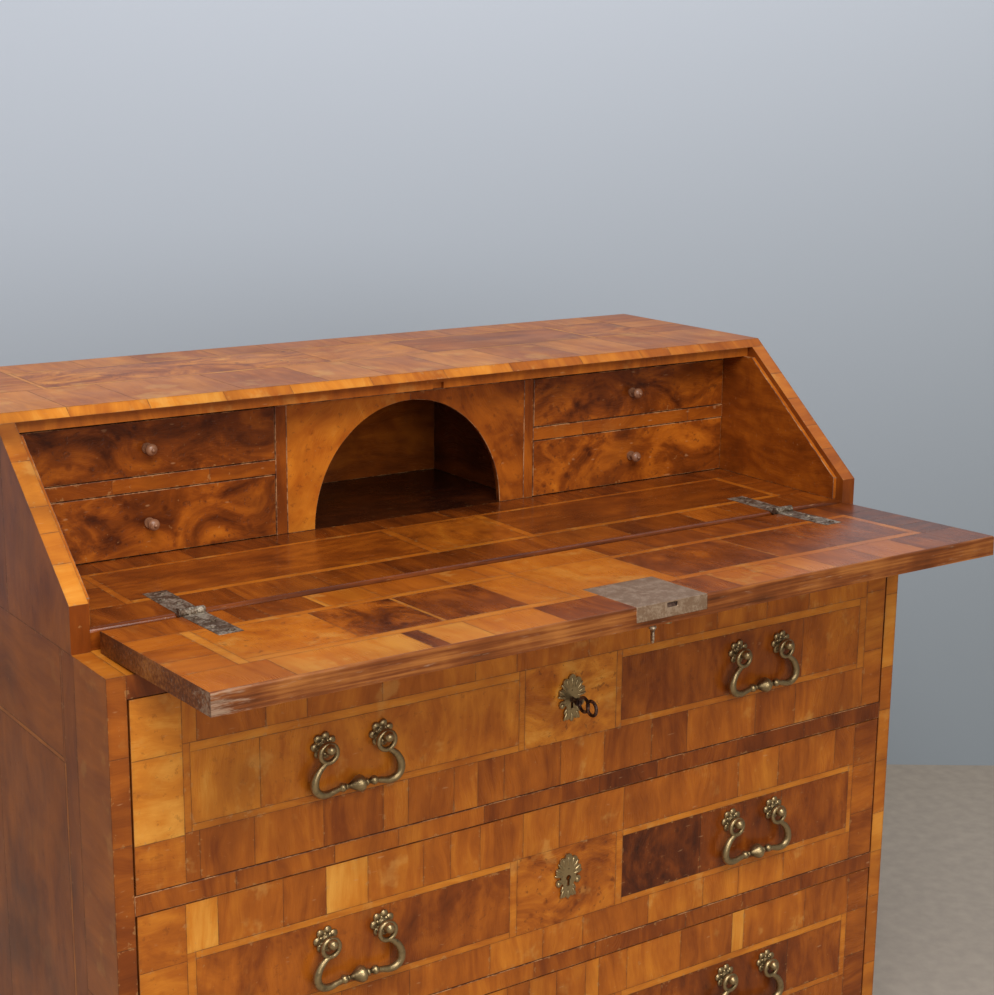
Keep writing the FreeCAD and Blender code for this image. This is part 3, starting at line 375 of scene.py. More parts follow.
def random_cuts(low, high, step):
    """Joints at uneven steps, as veneer offcuts give."""
    cuts = [low]
    while cuts[-1] < high - step * 1.5:
        cuts.append(cuts[-1] + step * chance.uniform(0.65, 1.35))
    return cuts + [high]


def random_tones(count, middle, spread):
    return [middle + chance.uniform(-spread, spread) for _ in range(count)]


def banding(low, high, v0, v1, middle, spread, step, turn=ACROSS):
    """A row of leaves with random joints and tones."""
    cuts = random_cuts(low, high, step)
    return row(cuts, v0, v1, random_tones(len(cuts), middle, spread), turn)


def banding_up(u0, u1, low, high, middle, spread, step):
    """A column of leaves with random joints and tones."""
    cuts = random_cuts(low, high, step)
    return column(u0, u1, cuts, random_tones(len(cuts), middle, spread))


def merged_copy(node):
    """A CAD board's mesh with its loose triangles joined and its flat faces whole."""
    mesh = bmesh.new()
    mesh.from_mesh(nodes[node].data)
    bmesh.ops.remove_doubles(mesh, verts=mesh.verts, dist=WELD)
    bmesh.ops.dissolve_limit(mesh, angle_limit=FLAT, verts=mesh.verts, edges=mesh.edges)
    return mesh


def panel_faces(mesh, origin, normal, box):
    """The faces that lie in a panel's plane and reach into a leaf's box."""
    found = []
    for face in mesh.faces:
        if face.normal.dot(normal) < STRAIGHT_ON:
            continue
        if abs((face.verts[0].co - origin).dot(normal)) > PLANE_SLACK:
            continue
        if reaches(face, origin, box):
            found.append(face)
    return found


def reaches(face, origin, box):
    """Whether a face overlaps a leaf's rectangle by more than the weld."""
    along, up, u0, u1, v0, v1 = box
    us = [(vert.co - origin).dot(along) for vert in face.verts]
    vs = [(vert.co - origin).dot(up) for vert in face.verts]
    slack = 2 * WELD
    return (
        min(us) < u1 - slack and max(us) > u0 + slack
        and min(vs) < v1 - slack and max(vs) > v0 + slack
    )


def cut_panel(mesh, panel):
    """Cut a panel's faces along the sides of every leaf."""
    normal = panel.along.cross(panel.up)
    for piece in panel.leaves:
        u0, u1, v0, v1 = (value * MM for value in piece[:4])
        box = (panel.along, panel.up, u0, u1, v0, v1)
        for axis, place in ((panel.along, u0), (panel.along, u1), (panel.up, v0), (panel.up, v1)):
            faces = panel_faces(mesh, panel.origin, normal, box)
            if not faces:
                break
            edges = {edge for face in faces for edge in face.edges}
            verts = {vert for face in faces for vert in face.verts}
            bmesh.ops.bisect_plane(
                mesh, geom=[*faces, *edges, *verts], dist=WELD / 10,
                plane_co=panel.origin + axis * place, plane_no=axis,
            )


class LeafLayers:
    """The corner data that the veneer's finish reads."""

    def __init__(self, mesh):
        self.grain = mesh.loops.layers.uv.new("grain")
        self.span = mesh.loops.layers.uv.new("span")
        self.leaf = mesh.loops.layers.float_color.new("leaf")
        self.burl = mesh.loops.layers.float.new("burl")

    def write(self, face, place_of, piece, seed):
        u0, u1, v0, v1 = (value * MM for value in piece[:4])
        half_u, half_v = (u1 - u0) / 2, (v1 - v0) / 2
        mid_u, mid_v = (u0 + u1) / 2, (v0 + v1) / 2
        turn = math.radians(piece.turn)
        for loop in face.loops:
            u, v = place_of(loop.vert.co)
            u, v = u - mid_u, v - mid_v
            along = u * math.cos(turn) + v * math.sin(turn)
            across = v * math.cos(turn) - u * math.sin(turn)
            loop[self.grain].uv = (along, across)
            loop[self.span].uv = (u / half_u, v / half_v)
            loop[self.leaf] = (piece.tone, seed, half_u, half_v)
            loop[self.burl] = piece.burl


MOSTLY = 0.7
WHOLE_SIDE = 2000
PLAIN_SEED = 0.37


def side_axes(normal):
    """Along and up for a plain side, from the way it faces."""
    if abs(normal.z) > MOSTLY:
        return EAST, NORTH
    if abs(normal.x) > MOSTLY:
        return NORTH, UP
    return EAST, UP


def dress_faces(mesh, panels, rest_tone, rest_turn=0, rest_finish=0):
    """Write every face's leaf: by its panel, or for the other sides as one plain leaf."""
    layers = LeafLayers(mesh)
    done = set()
    for panel in panels:
        normal = panel.along.cross(panel.up)
        for piece in panel.leaves:
            seed = chance.random()
            u0, u1, v0, v1 = (value * MM for value in piece[:4])
            box = (panel.along, panel.up, u0, u1, v0, v1)

            def place_of(spot, panel=panel):
                away = spot - panel.origin
                return away.dot(panel.along), away.dot(panel.up)

            for face in panel_faces(mesh, panel.origin, normal, box):
                layers.write(face, place_of, piece, seed)
                face.material_index = panel.finish
                done.add(face.index)
    plain = Leaf(-WHOLE_SIDE, WHOLE_SIDE, -WHOLE_SIDE, WHOLE_SIDE, rest_tone, rest_turn)
    for face in mesh.faces:
        if face.index in done:
            continue
        along, up = side_axes(face.normal)
        face.material_index = rest_finish
        layers.write(face, lambda spot: (spot.dot(along), spot.dot(up)), plain, PLAIN_SEED)


def finish_piece(mesh, name, body, materials, replaced=()):
    """Make the mesh an object at the origin that rides on a body."""
    data = bpy.data.meshes.new(name)
    mesh.normal_update()
    mesh.to_mesh(data)
    mesh.free()
    thing = bpy.data.objects.new(name, data)
    bpy.context.scene.collection.objects.link(thing)
    for material in materials:
        data.materials.append(material)
    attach(thing, body)
    if replaced:
        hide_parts(*replaced)
    return thing


def soften(thing, width, segments=2, edge_slot=-1, angle=35):
    """Round a piece's sharp edges a little, with their own finish if one is given."""
    bevel = thing.modifiers.new("arris", "BEVEL")
    bevel.width = width * MM
    bevel.segments = segments
    bevel.limit_method = "ANGLE"
    bevel.angle_limit = math.radians(angle)
    bevel.material = edge_slot
    bevel.use_clamp_overlap = True


def veneered(
    node, body, panels, materials, rest_tone=0.32, rest_turn=0, arris=0.7, rest_finish=0
):
    """A CAD board with its veneer leaves cut and its edges rubbed, arris millimetres wide."""
    mesh = merged_copy(node)
    for panel in panels:
        cut_panel(mesh, panel)
    mesh.faces.index_update()
    mesh.normal_update()
    dress_faces(mesh, panels, rest_tone, rest_turn, rest_finish)
    thing = finish_piece(mesh, node + "_veneered", body, materials, (node,))
    soften(thing, arris, edge_slot=1)


VENEER = walnut("walnut_veneer")
RED_VENEER = walnut("walnut_inside", age=0.25, gloss=0.26, coat=0.22, stain=0.25)
FALL_VENEER = walnut("walnut_fall", gloss=0.28, stain=0.38)
TOP_VENEER = walnut("walnut_top", gloss=0.42, coat=0.05)
SIDE_VENEER = walnut("walnut_sides", age=0.35, gloss=0.34, contrast=0.7)
ARRIS = worn_arris("walnut_arris", (0.42, 0.20, 0.085, 1.0), (0.11, 0.034, 0.012, 1.0))
PALE_ARRIS = worn_arris("walnut_pale_arris", (0.62, 0.40, 0.24, 1.0), (0.20, 0.075, 0.028, 1.0))
SCUFFED = scuffed_edge("fall_scuffed_edge")
BROWN_ARRIS = worn_arris("walnut_brown_arris", (0.27, 0.125, 0.07, 1.0), (0.10, 0.03, 0.012, 1.0))
DARK_ARRIS = worn_arris("walnut_dark_arris", (0.20, 0.085, 0.04, 1.0), (0.05, 0.018, 0.009, 1.0))
OAK = plain_wood("oak_lining", (0.44, 0.24, 0.095), (0.26, 0.13, 0.048), 0.6, (3.0, 60.0, 60.0))
PINE_COLOURS = ((0.40, 0.215, 0.095), (0.22, 0.105, 0.042))
PINE = plain_wood("pine_back", *PINE_COLOURS, 0.7, (40.0, 40.0, 2.5))
PINE_FLAT = plain_wood("pine_flat", *PINE_COLOURS, 0.7, (2.5, 40.0, 40.0))
EBONY_COLOURS = ((0.045, 0.028, 0.02), (0.018, 0.010, 0.007))
EBONISED = plain_wood("ebonised_feet", *EBONY_COLOURS, 0.35, (20.0, 20.0, 60.0))
KNOB_COLOURS = ((0.36, 0.17, 0.09), (0.15, 0.055, 0.025))
TURNED = plain_wood("turned_knobs", *KNOB_COLOURS, 0.35, (80.0, 400.0, 80.0))
BRASS = aged_brass("aged_brass")
LEAF_IRON = old_iron("hinge_iron", (0.50, 0.43, 0.34, 1.0), (0.13, 0.085, 0.055, 1.0))
LOCK_PLATE = old_iron("lock_plate", (0.50, 0.36, 0.25, 1.0), (0.33, 0.21, 0.13, 1.0), 0.40)
PALE_KEY = old_iron("fall_key_iron", (0.62, 0.50, 0.36, 1.0), (0.22, 0.14, 0.08, 1.0), 0.4)
KEY_IRON = old_iron("key_iron", (0.21, 0.13, 0.10, 1.0), (0.035, 0.018, 0.015, 1.0), 0.4)

WALNUT_PAIR = (VENEER, ARRIS)
RED_PAIR = (RED_VENEER, ARRIS)
SIDE_PAIR = (SIDE_VENEER, DARK_ARRIS)

# Places on the bureau, in millimetres, read from its solids

def corners(node):
    """A node's lowest and highest corners in millimetres."""
    low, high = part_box(node)
    return low / MM, high / MM


side_low, side_high = corners("side_right")
FRONT = side_low.y
INNER, SIDE = side_low.x, side_high.x
CASE_LOW = side_low.z
LEDGE = 767.675
DESK = corners("writing_board")[1].z
TOP = corners("top_board")[1].z
GALLERY = corners("arch_panel")[0].y
GALLERY_LOW, GALLERY_TOP = 791, 960
SHELF_LOW, SHELF_TOP, RAIL_LOW = 867, 885, 951
LINER_INNER = 523
ARCH_HALF = 177
SLOPE = math.radians(39.535)
SLANT_LOW = mm(0, -118.536, 818.675)
SLANT_HIGH = mm(0, 68.7, 973.175)

# The fall's hinge line, and its faces seen from there, in its own frame

(fall_hinge,) = (joint for joint in frame["joints"] if joint["name"] == "fall_hinge")
FALL_TILT = math.radians(2)
FALL_TOP, FALL_UNDER, FALL_EDGE = -2.0, -25.4, -259.4

# The long drawers' brasses

DRAWERS = (1, 2, 3)
POST_Z = {1: 650.5, 2: 428.1, 3: 214.0}
BAIL_X = {"left": -276.5, "right": 306.5}
POST_HALF = 35.5

# The way that the camera looks, turned from north

HEADING = math.radians(34.7214)


# The case

def front_panel(leaves, y=FRONT):
    return Panel(mm(0, y, 0), EAST, UP, leaves)


def flat_panel(leaves, z):
    return Panel(mm(0, 0, z), EAST, NORTH, leaves)


def dress_rails():
    darker_from, spread, step = 60, 0.10, 118
    leaves = []
    for low, high, tone in ((298, 320, 0.50), (512.2, 534.2, 0.52)):
        leaves += banding(-INNER, darker_from, low, high, tone, spread, step)
        leaves += banding(darker_from, INNER, low, high, 0.36, spread, step)
    veneered("drawer_rails", "case", [front_panel(leaves)], WALNUT_PAIR)
    rail_low, ledge_back = 742.8, -96.5
    edge = banding(-INNER, INNER, rail_low, LEDGE, 0.42, 0.10, 96)
    ledge = banding(-INNER, INNER, FRONT, ledge_back, 0.70, 0.08, 120)
    panels = [front_panel(edge), flat_panel(ledge, LEDGE)]
    veneered("upper_rail", "case", panels, WALNUT_PAIR)


def outer_side(outward):
    """The leaves of a side's outer face. U runs forwards on the left side, backwards on the right."""
    def field(back, fore, v0, v1, tone, turn=ACROSS, burl=0.0):
        u0, u1 = (back, fore) if outward < 0 else (-fore, -back)
        return Leaf(u0, u1, v0, v1, tone, turn, burl)

    back, string_back, string_fore, border, fore = -381.6, -318, 86.4, 123.4, 206.5
    low, string_low, string_high, joint, high = CASE_LOW, 162, 643, LEDGE, 973.3
    border_joint, field_joint, upper_joint, wide = 402, -116, -60, 5
    back_edge, fore_edge = string_back - wide, string_fore + wide
    low_edge, high_edge = string_low - wide, string_high + wide
    light = LIGHT_STRING - 0.12
    leaves = [
        field(border, fore, low, border_joint, 0.52, 0),
        field(border, fore, border_joint, joint, 0.55, 0),
        field(fore_edge, border, low, joint, 0.46),
        field(string_fore, fore_edge, string_low, string_high, light),
        field(string_fore, fore_edge, low, string_low, 0.46),
        field(string_fore, fore_edge, string_high, joint, 0.50),
        field(string_back, string_fore, string_high, high_edge, light),
        field(string_back, string_fore, low_edge, string_low, light),
        field(back_edge, string_back, low_edge, high_edge, light),
        field(back_edge, string_back, high_edge, joint, 0.50),
        field(back_edge, string_back, low, low_edge, 0.50),
        field(string_back, string_fore, low, low_edge, 0.50),
        field(back, back_edge, low, joint, 0.48),
        field(string_back, field_joint, string_low, string_high, 0.46, ACROSS, 0.25),
        field(field_joint, string_fore, string_low, string_high, 0.49, ACROSS, 0.25),
        field(string_back, string_fore, high_edge, joint, 0.51, 0),
        field(back, upper_joint, joint, high, 0.46, ACROSS, 0.3),
        field(upper_joint, fore, joint, high, 0.49, ACROSS, 0.3),
    ]
    return Panel(mm(outward * SIDE, 0, 0), NORTH * outward, UP, leaves)


def up_the_slant():
    return Vector((0, math.cos(SLOPE), math.sin(SLOPE)))


def slant_panel(x0, x1, middle):
    """The front edge of a cheek, where the fall lies when shut."""
    slant_length = 243
    leaves = banding_up(x0, x1, 0, slant_length, middle, 0.06, 46)
    return Panel(SLANT_LOW, EAST, up_the_slant(), leaves)


def dress_sides():
    ledge_back = -118.5
    sides = (("side_left", -1, 0.48, 0.74), ("side_right", 1, 0.72, 0.58))
    for name, outward, stile_tone, slant_tone in sides:
        x0, x1 = sorted((outward * INNER, outward * SIDE))
        stile = banding_up(x0, x1, CASE_LOW, LEDGE, stile_tone, 0.12, 84)
        panels = [
            outer_side(outward),
            front_panel(stile),
            slant_panel(x0, x1, slant_tone),
            flat_panel([Leaf(x0, x1, FRONT, ledge_back, 0.66)], LEDGE),
        ]
        veneered(name, "case", panels, SIDE_PAIR, 0.40, ACROSS)


def dress_top():
    light, end, back = LIGHT_STRING + 0.05, 550, 381.6
    left, left_in, right_in, right, far_right = -447, -441, 353, 359, 464
    front, front_in, rear_in, rear = 200, 206, 316, 322
    cuts = (-end, -467, -384, -251, -138, -55, 45, 145, 242, 353, 440, end)
    tones = (0.74, 0.66, 0.70, 0.58, 0.72, 0.66, 0.74, 0.62, 0.70, 0.60, 0.66)
    leaves = row(cuts, 80, front, tones)
    leaves += [
        Leaf(left, left_in, front, rear, light),
        Leaf(left_in, right_in, front, front_in, light),
        Leaf(left_in, right_in, rear_in, rear, light),
        Leaf(left_in, -63, front_in, rear_in, 0.62, 0, 1.0),
        Leaf(-63, 87, front_in, rear_in, 0.72, 20, 0.4),
        Leaf(87, right_in, front_in, rear_in, 0.55, 0, 0.1),
        Leaf(right_in, right, front, rear, light),
        Leaf(right, far_right, front_in, rear, 0.58, 0, 0.6),
        Leaf(right, far_right, front, front_in, light),
    ]
    leaves += banding_up(-end, left, front, back, 0.66, 0.06, 62)
    leaves += banding_up(far_right, end, front, back, 0.60, 0.06, 62)
    leaves += banding(left, far_right, rear, back, 0.64, 0.06, 96)
    edge_cuts = (-end, -467, -372, -278, -192, -83, 23, 123, 234, 334, 383, 440, end)
    edge_tones = (0.80, 0.70, 0.82, 0.68, 0.76, 0.66, 0.74, 0.62, 0.70, 0.60, 0.64, 0.58)
    slant = Panel(SLANT_HIGH, EAST, up_the_slant(), row(edge_cuts, 0, 15, edge_tones))
    panels = [flat_panel(leaves, TOP), slant]
    veneered("top_board", "case", panels, (TOP_VENEER, PALE_ARRIS), 0.55, ACROSS)


def dress_desk():
    light = LIGHT_STRING
    board_front, board_back, liner_front = -110.5, 370, -107
    front, front_in, rear_in, rear = -54.4, -44.4, 68.6, 75.6
    left, right = -462, 479
    leaves = banding(-INNER, INNER, board_front, front, 0.40, 0.09, 92)
    leaves += banding_up(-INNER, left, front, rear, 0.48, 0.10, 62)
    leaves += banding_up(right, INNER, front, rear, 0.44, 0.10, 62)
    for x0, x1 in ((left, -453), (-75, -63), (64, 76), (469, right)):
        leaves.append(Leaf(x0, x1, front, rear, light - 0.14))
    middles = (
        (-453, -75, 0.42, 0, 0.25),
        (-63, 64, 0.52, ACROSS, 0.5),
        (76, 469, 0.34, 0, 0.2),
    )
    for x0, x1, tone, turn, burl in middles:
        leaves.append(Leaf(x0, x1, front, front_in, light - 0.06))
        leaves.append(Leaf(x0, x1, rear_in, rear, light - 0.16))
        leaves.append(Leaf(x0, x1, front_in, rear_in, tone, turn, burl))
    leaves += banding(-INNER, INNER, rear, GALLERY, 0.32, 0.06, 110)
    # Behind the gallery's front the desk gets a near-black leaf: painted shade for the recess inside the
    # pigeonhole and under the fitment.
    leaves.append(Leaf(-INNER, INNER, GALLERY, board_back, 0.02))
    pair = (RED_VENEER, BROWN_ARRIS)
    veneered("writing_board", "case", [flat_panel(leaves, DESK)], pair, 0.30)
    left_cheek = Leaf(liner_front, board_back, GALLERY_LOW, GALLERY_TOP, 0.42, 0, 0.25)
    right_cheek = left_cheek._replace(u0=-board_back, u1=-liner_front)
    cheeks = [
        Panel(mm(-LINER_INNER, 0, 0), NORTH, UP, [left_cheek]),
        Panel(mm(LINER_INNER, 0, 0), -NORTH, UP, [right_cheek]),
    ]
    veneered("cheek_liners", "case", cheeks, RED_PAIR, 0.62)


def dress_gallery():
    low, high, inner = GALLERY_LOW, GALLERY_TOP, LINER_INNER
    arch = front_panel([
        Leaf(-ARCH_HALF, 0, low, RAIL_LOW, 0.68, 60, 0.5),
        Leaf(0, ARCH_HALF, low, RAIL_LOW, 0.48, -60, 0.5),
    ], GALLERY)
    veneered("arch_panel", "case", [arch], RED_PAIR, 0.3)
    shelves = banding(-inner, inner, SHELF_LOW, SHELF_TOP + 0.3, 0.46, 0.06, 160, 0)
    veneered("gallery_shelves", "case", [front_panel(shelves, GALLERY)], RED_PAIR, 0.3)
    rail = banding(-inner, inner, RAIL_LOW - 1, high, 0.42, 0.06, 180, 0)
    veneered("gallery_rail", "case", [front_panel(rail, GALLERY)], RED_PAIR, 0.3)
    posts = front_panel([Leaf(-192, 192, low, RAIL_LOW, 0.44, ACROSS)], GALLERY)
    veneered("gallery_partitions", "case", [posts], RED_PAIR, 0.26)
    back_y = corners("pigeonhole_back")[0].y
    back = front_panel([Leaf(-ARCH_HALF, ARCH_HALF, low, high, 0.40, 0, 0.2)], back_y)
    veneered("pigeonhole_back", "case", [back], RED_PAIR, 0.15)
    tones = {"upper_left": 0.40, "lower_left": 0.38, "upper_right": 0.36, "lower_right": 0.44}
    for place, tone in tones.items():
        small_drawer("small_drawer_" + place, tone)


def small_drawer(name, tone):
    left, right = (-LINER_INNER, -191) if name.endswith("left") else (191, LINER_INNER)
    low, high = (SHELF_TOP, RAIL_LOW) if "upper" in name else (GALLERY_LOW, SHELF_LOW)
    front = front_panel([Leaf(left, right, low, high, tone, 0, 0.85)], GALLERY)
    veneered(name + "_front", name, [front], RED_PAIR, 0.4)
    carry(name + "_box", OAK)
    smooth_copy(name + "_knob", name, TURNED, 0)


# Drawers and fall

# levels: the front's foot, lower banding, lower string, field, upper string and upper banding
# strings: where each of the four upright strings starts and ends
# fields: each one's end, tone and burl, from the string on its left
DrawerFront = namedtuple("DrawerFront", (
    "levels", "strings", "string_tones", "left_end", "right_end", "upper_row", "lower_row",
    "left_fields", "middle_tone", "right_fields",
))
DRAWER_EDGE = 527
DRAWER_FRONTS = {
    1: DrawerFront(
        levels=(535, 589, 597, 675, 685, 742),
        strings=((-472, -464), (-58, -50), (82, 90), (482, 494)),
        string_tones=(-0.06, 0.0, -0.08),
        left_end=((535, 587, 677, 742), (0.62, 0.86, 0.80), 0.35),
        right_end=((535, 610, 690, 742), (0.60, 0.66, 0.56)),
        upper_row=(
            (-472, -456, -378, -330, -238, -118, -62, 40, 136, 236, 318, 390, 494),
            (0.66, 0.58, 0.70, 0.56, 0.62, 0.66, 0.60, 0.66, 0.58, 0.64, 0.56, 0.66),
        ),
        lower_row=(
            (-472, -456, -394, -312, -238, -206, -146, -114, -78, 2, 66, 138, 194, 306, 374, 494),
            (0.56, 0.50, 0.58, 0.46, 0.62, 0.52, 0.60, 0.48, 0.56, 0.60, 0.50, 0.44, 0.56, 0.50, 0.58),
        ),
        left_fields=((-386, 0.76, 0.2), (-58, 0.68, 0.3)),
        middle_tone=0.74,
        right_fields=((382, 0.47, 0.3), (482, 0.60, 0.3)),
    ),
    2: DrawerFront(
        levels=(321, 360, 368, 448, 456, 511.3),
        strings=((-474, -464), (-68, -58), (88, 98), (478, 486)),
        string_tones=(-0.06, -0.02, -0.08),
        left_end=((321, 360, 448, 511.3), (0.60, 0.68, 0.62), 0.35),
        right_end=((321, 384, 452, 511.3), (0.48, 0.56, 0.50)),
        upper_row=(
            (-474, -438, -362, -310, -258, -186, -150, -110, -50, 2, 98, 282, 350, 450, 486),
            (0.86, 0.60, 0.52, 0.84, 0.64, 0.54, 0.60, 0.56, 0.66, 0.60, 0.54, 0.66, 0.58, 0.50),
        ),
        lower_row=(0.60, 0.10, 84),
        left_fields=((-230, 0.50, 0.35), (-68, 0.42, 0.35)),
        middle_tone=0.60,
        right_fields=((222, 0.24, 0.5), (358, 0.38, 0.4), (478, 0.46, 0.3)),
    ),
    3: DrawerFront(
        levels=(107, 150, 158, 233, 242, 297.3),
        strings=((-474, -464), (-66, -56), (92, 102), (480, 490)),
        string_tones=(-0.08, -0.02, -0.10),
        left_end=((107, 150, 234, 297.3), (0.50, 0.60, 0.56)),
        right_end=((107, 176, 242, 297.3), (0.42, 0.52, 0.46)),
        upper_row=(
            (-474, -396, -318, -232, -150, -70, -38, 2, 46, 66, 110, 196, 282, 302, 410, 490),
            (0.58, 0.66, 0.54, 0.60, 0.68, 0.52, 0.62, 0.56, 0.70, 0.58, 0.64, 0.54, 0.90, 0.60, 0.52),
        ),
        lower_row=(0.50, 0.10, 80),
        left_fields=((-252, 0.52, 0.3), (-66, 0.46, 0.4)),
        middle_tone=0.58,
        right_fields=((166, 0.48, 0.3), (382, 0.34, 0.4), (480, 0.44, 0.3)),
    ),
}


def drawer_leaves(plan):
    """A drawer's ends, bandings, strings and fields, from its plan."""
    foot, lower, lower_in, upper_in, upper, head = plan.levels
    first, second, third, last = plan.strings
    left_end, right_end = first[0], last[1]
    upright, above, below = (LIGHT_STRING + tone for tone in plan.string_tones)
    cuts, tones, *burl = plan.left_end
    leaves = column(-DRAWER_EDGE, left_end, cuts, tones, 0, *burl)
    leaves += column(right_end, DRAWER_EDGE, *plan.right_end)
    cuts, tones = plan.upper_row
    leaves += row(cuts, upper, head, tones)
    if len(plan.lower_row) == 2:
        cuts, tones = plan.lower_row
        leaves += row(cuts, foot, lower, tones)
    else:
        leaves += banding(left_end, right_end, foot, lower, *plan.lower_row)
    for x0, x1 in plan.strings:
        leaves.append(Leaf(x0, x1, lower, upper, upright))
    for x0, x1 in ((first[1], second[0]), (third[1], last[0])):
        leaves.append(Leaf(x0, x1, upper_in, upper, above))
        leaves.append(Leaf(x0, x1, lower, lower_in, below))
    leaves += fields(first[1], lower_in, upper_in, plan.left_fields)
    leaves.append(Leaf(second[1], third[0], lower, upper, plan.middle_tone, 0, 0.75))
    return leaves + fields(third[1], lower_in, upper_in, plan.right_fields)


def dress_drawers():
    for number in DRAWERS:
        name = f"drawer_{number}"
        panels = [front_panel(drawer_leaves(DRAWER_FRONTS[number]))]
        veneered(name + "_front", name, panels, WALNUT_PAIR, 0.5, arris=0.9)
        carry(name + "_box", OAK)
        carry(name + "_lock", KEY_IRON, 0.3)


def turned_by_fall(direction):
    return Matrix.Rotation(-FALL_TILT, 3, "X") @ direction


def fall_place(y, z):
    """A place in the fall's own frame, from its hinge line, turned to where it lies."""
    return Vector(fall_hinge["pos_m"]) + turned_by_fall(mm(0, y, z))


def fall_top_leaves():
    light = LIGHT_STRING
    left, right, front, rear, near, far = -522.5, 522.5, -259.6, -3, -195, -61
    near_in, far_in, string_left, middle_left, middle_right, string_right = -182, -72, -450, -56, 83, 467
    cuts = (left, -475, -387, -357, -293, -287, -223, -133, -83, -53, middle_right, 87, 156, 252,
            325, 352, 406, string_right, right)
    tones = (0.50, 0.48, 0.30, 0.36, 0.86, 0.66, 0.56, 0.60, 0.62, 0.70, 0.84, 0.46, 0.36, 0.40,
             0.32, 0.34, 0.36, 0.30)
    leaves = row(cuts, far, rear, tones)
    cuts = (-525, -433, -283, -263, -210, -121, -33, 67, 117, 171, 221, 260, 333, 406,
            string_right, right)
    tones = (0.72, 0.88, 0.34, 0.90, 0.74, 0.38, 0.50, 0.42, 0.66, 0.68, 0.74, 0.50, 0.60, 0.44, 0.38)
    leaves += row(cuts, front, near, tones)
    leaves += [
        Leaf(-462, string_left, near, far, 0.92),
        Leaf(string_left, middle_left, far_in, far, light),
        Leaf(string_left, middle_left, near, near_in, light + 0.06),
        Leaf(middle_right, string_right, far_in, far, light - 0.10),
        Leaf(middle_right, string_right, near, near_in, light - 0.08),
        Leaf(456, string_right, near_in, far_in, light - 0.06),
    ]
    leaves += fields(string_left, near_in, far_in, ((-321, 0.74, 0.6), (-223, 0.42, 0.9)))
    leaves.append(Leaf(-223, -219, near_in, far_in, 0.88))
    leaves += fields(-219, near_in, far_in, ((-117, 0.42, 0.3), (middle_left, 0.70, 0.3)))
    leaves += fields(middle_left, near, far, ((middle_right, 0.78, 0.3),))
    leaves += fields(middle_right, near_in, far_in, ((242, 0.37, 0.4),))
    leaves.append(Leaf(242, 245, near_in, far_in, 0.72))
    leaves += fields(245, near_in, far_in, ((333, 0.38, 0.3), (456, 0.42, 0.3)))
    end_cuts = (near, -150, -104, far)
    leaves += column(left, -462, end_cuts, (0.66, 0.58, 0.62))
    return leaves + column(string_right, right, end_cuts, (0.28, 0.32, 0.28))


def dress_fall():
    back = turned_by_fall(NORTH)
    end, front, rear, middle_half, thick = 523, -260, -5, 300, 26
    top = Panel(fall_place(0, FALL_TOP), EAST, back, fall_top_leaves())
    under = Panel(fall_place(0, FALL_UNDER), -EAST, back, [
        Leaf(-end, -middle_half, front, rear, 0.50, ACROSS),
        Leaf(-middle_half, middle_half, front, rear, 0.55, ACROSS, 0.6),
        Leaf(middle_half, end, front, rear, 0.50, ACROSS),
    ])
    edge = Panel(fall_place(FALL_EDGE, 0), EAST, turned_by_fall(UP), [
        Leaf(-end, -60, -thick, 0, 0.46), Leaf(-60, end, -thick, 0, 0.38),
    ], 2)
    finishes = (FALL_VENEER, BROWN_ARRIS, SCUFFED)
    veneered(
        "fall_board", "fall", [top, under, edge], finishes, 0.42,
        arris=1.1, rest_finish=2,
    )


# Turned, cast and plain pieces

SHARP = 38


def carry(node, material, width=0.6):
    """A CAD node shown as it is, with its triangles joined, its edges eased and its finish."""
    thing = nodes[node]
    thing.data.materials.clear()
    thing.data.materials.append(material)
    weld = thing.modifiers.new("joined", "WELD")
    weld.merge_threshold = WELD
    soften(thing, width, 1)


def smooth_copy(node, body, material, width):
    """A CAD node's shape with its round faces shaded smooth and its edges eased."""
    mesh = bmesh.new()
    mesh.from_mesh(nodes[node].data)
    bmesh.ops.remove_doubles(mesh, verts=mesh.verts, dist=WELD)
    shade_smooth(mesh, SHARP)
    thing = finish_piece(mesh, node + "_shaped", body, [material], (node,))
    if width:
        soften(thing, width, angle=SHARP)


def shade_smooth(mesh, sharp):
    """Smooth faces, with a crease where two meet at more than sharp degrees."""
    limit = math.radians(sharp)
    for face in mesh.faces:
        face.smooth = True
    for edge in mesh.edges:
        if len(edge.link_faces) == 2 and edge.calc_face_angle(0.0) > limit:
            edge.smooth = False


def ball(mesh, centre, size, turn=None, segments=16):
    """A ball of radius 1 stretched to a size, turned, then put at its centre."""
    matrix = Matrix.Translation(centre) @ (turn or Matrix()) @ Matrix.Diagonal((*size, 1))
    bmesh.ops.create_uvsphere(
        mesh, u_segments=segments, v_segments=segments // 2 + 1, radius=1, matrix=matrix
    )


def tube(mesh, places, radii, sides=14, closed=False):
    """A round bar through places that lie in one upright plane facing front, capped at its ends."""
    rings = []
    count = len(places)
    for number, (place, radius) in enumerate(zip(places, radii)):
        before = places[(number - 1) % count] if closed or number else place
        after = places[(number + 1) % count] if closed or number < count - 1 else place
        out = (after - before).normalized().cross(NORTH)
        ring = []
        for side in range(sides):
            angle = math.tau * side / sides
            offset = out * math.cos(angle) + NORTH * math.sin(angle)
            ring.append(mesh.verts.new(place + offset * radius))
        rings.append(ring)
    pairs = list(zip(rings, rings[1:] + rings[:1] if closed else rings[1:]))
    for low, high in pairs:
        for side in range(sides):
            other = (side + 1) % sides
            mesh.faces.new((low[side], low[other], high[other], high[side]))
    if not closed:
        mesh.faces.new(rings[0][::-1])
        mesh.faces.new(rings[-1])


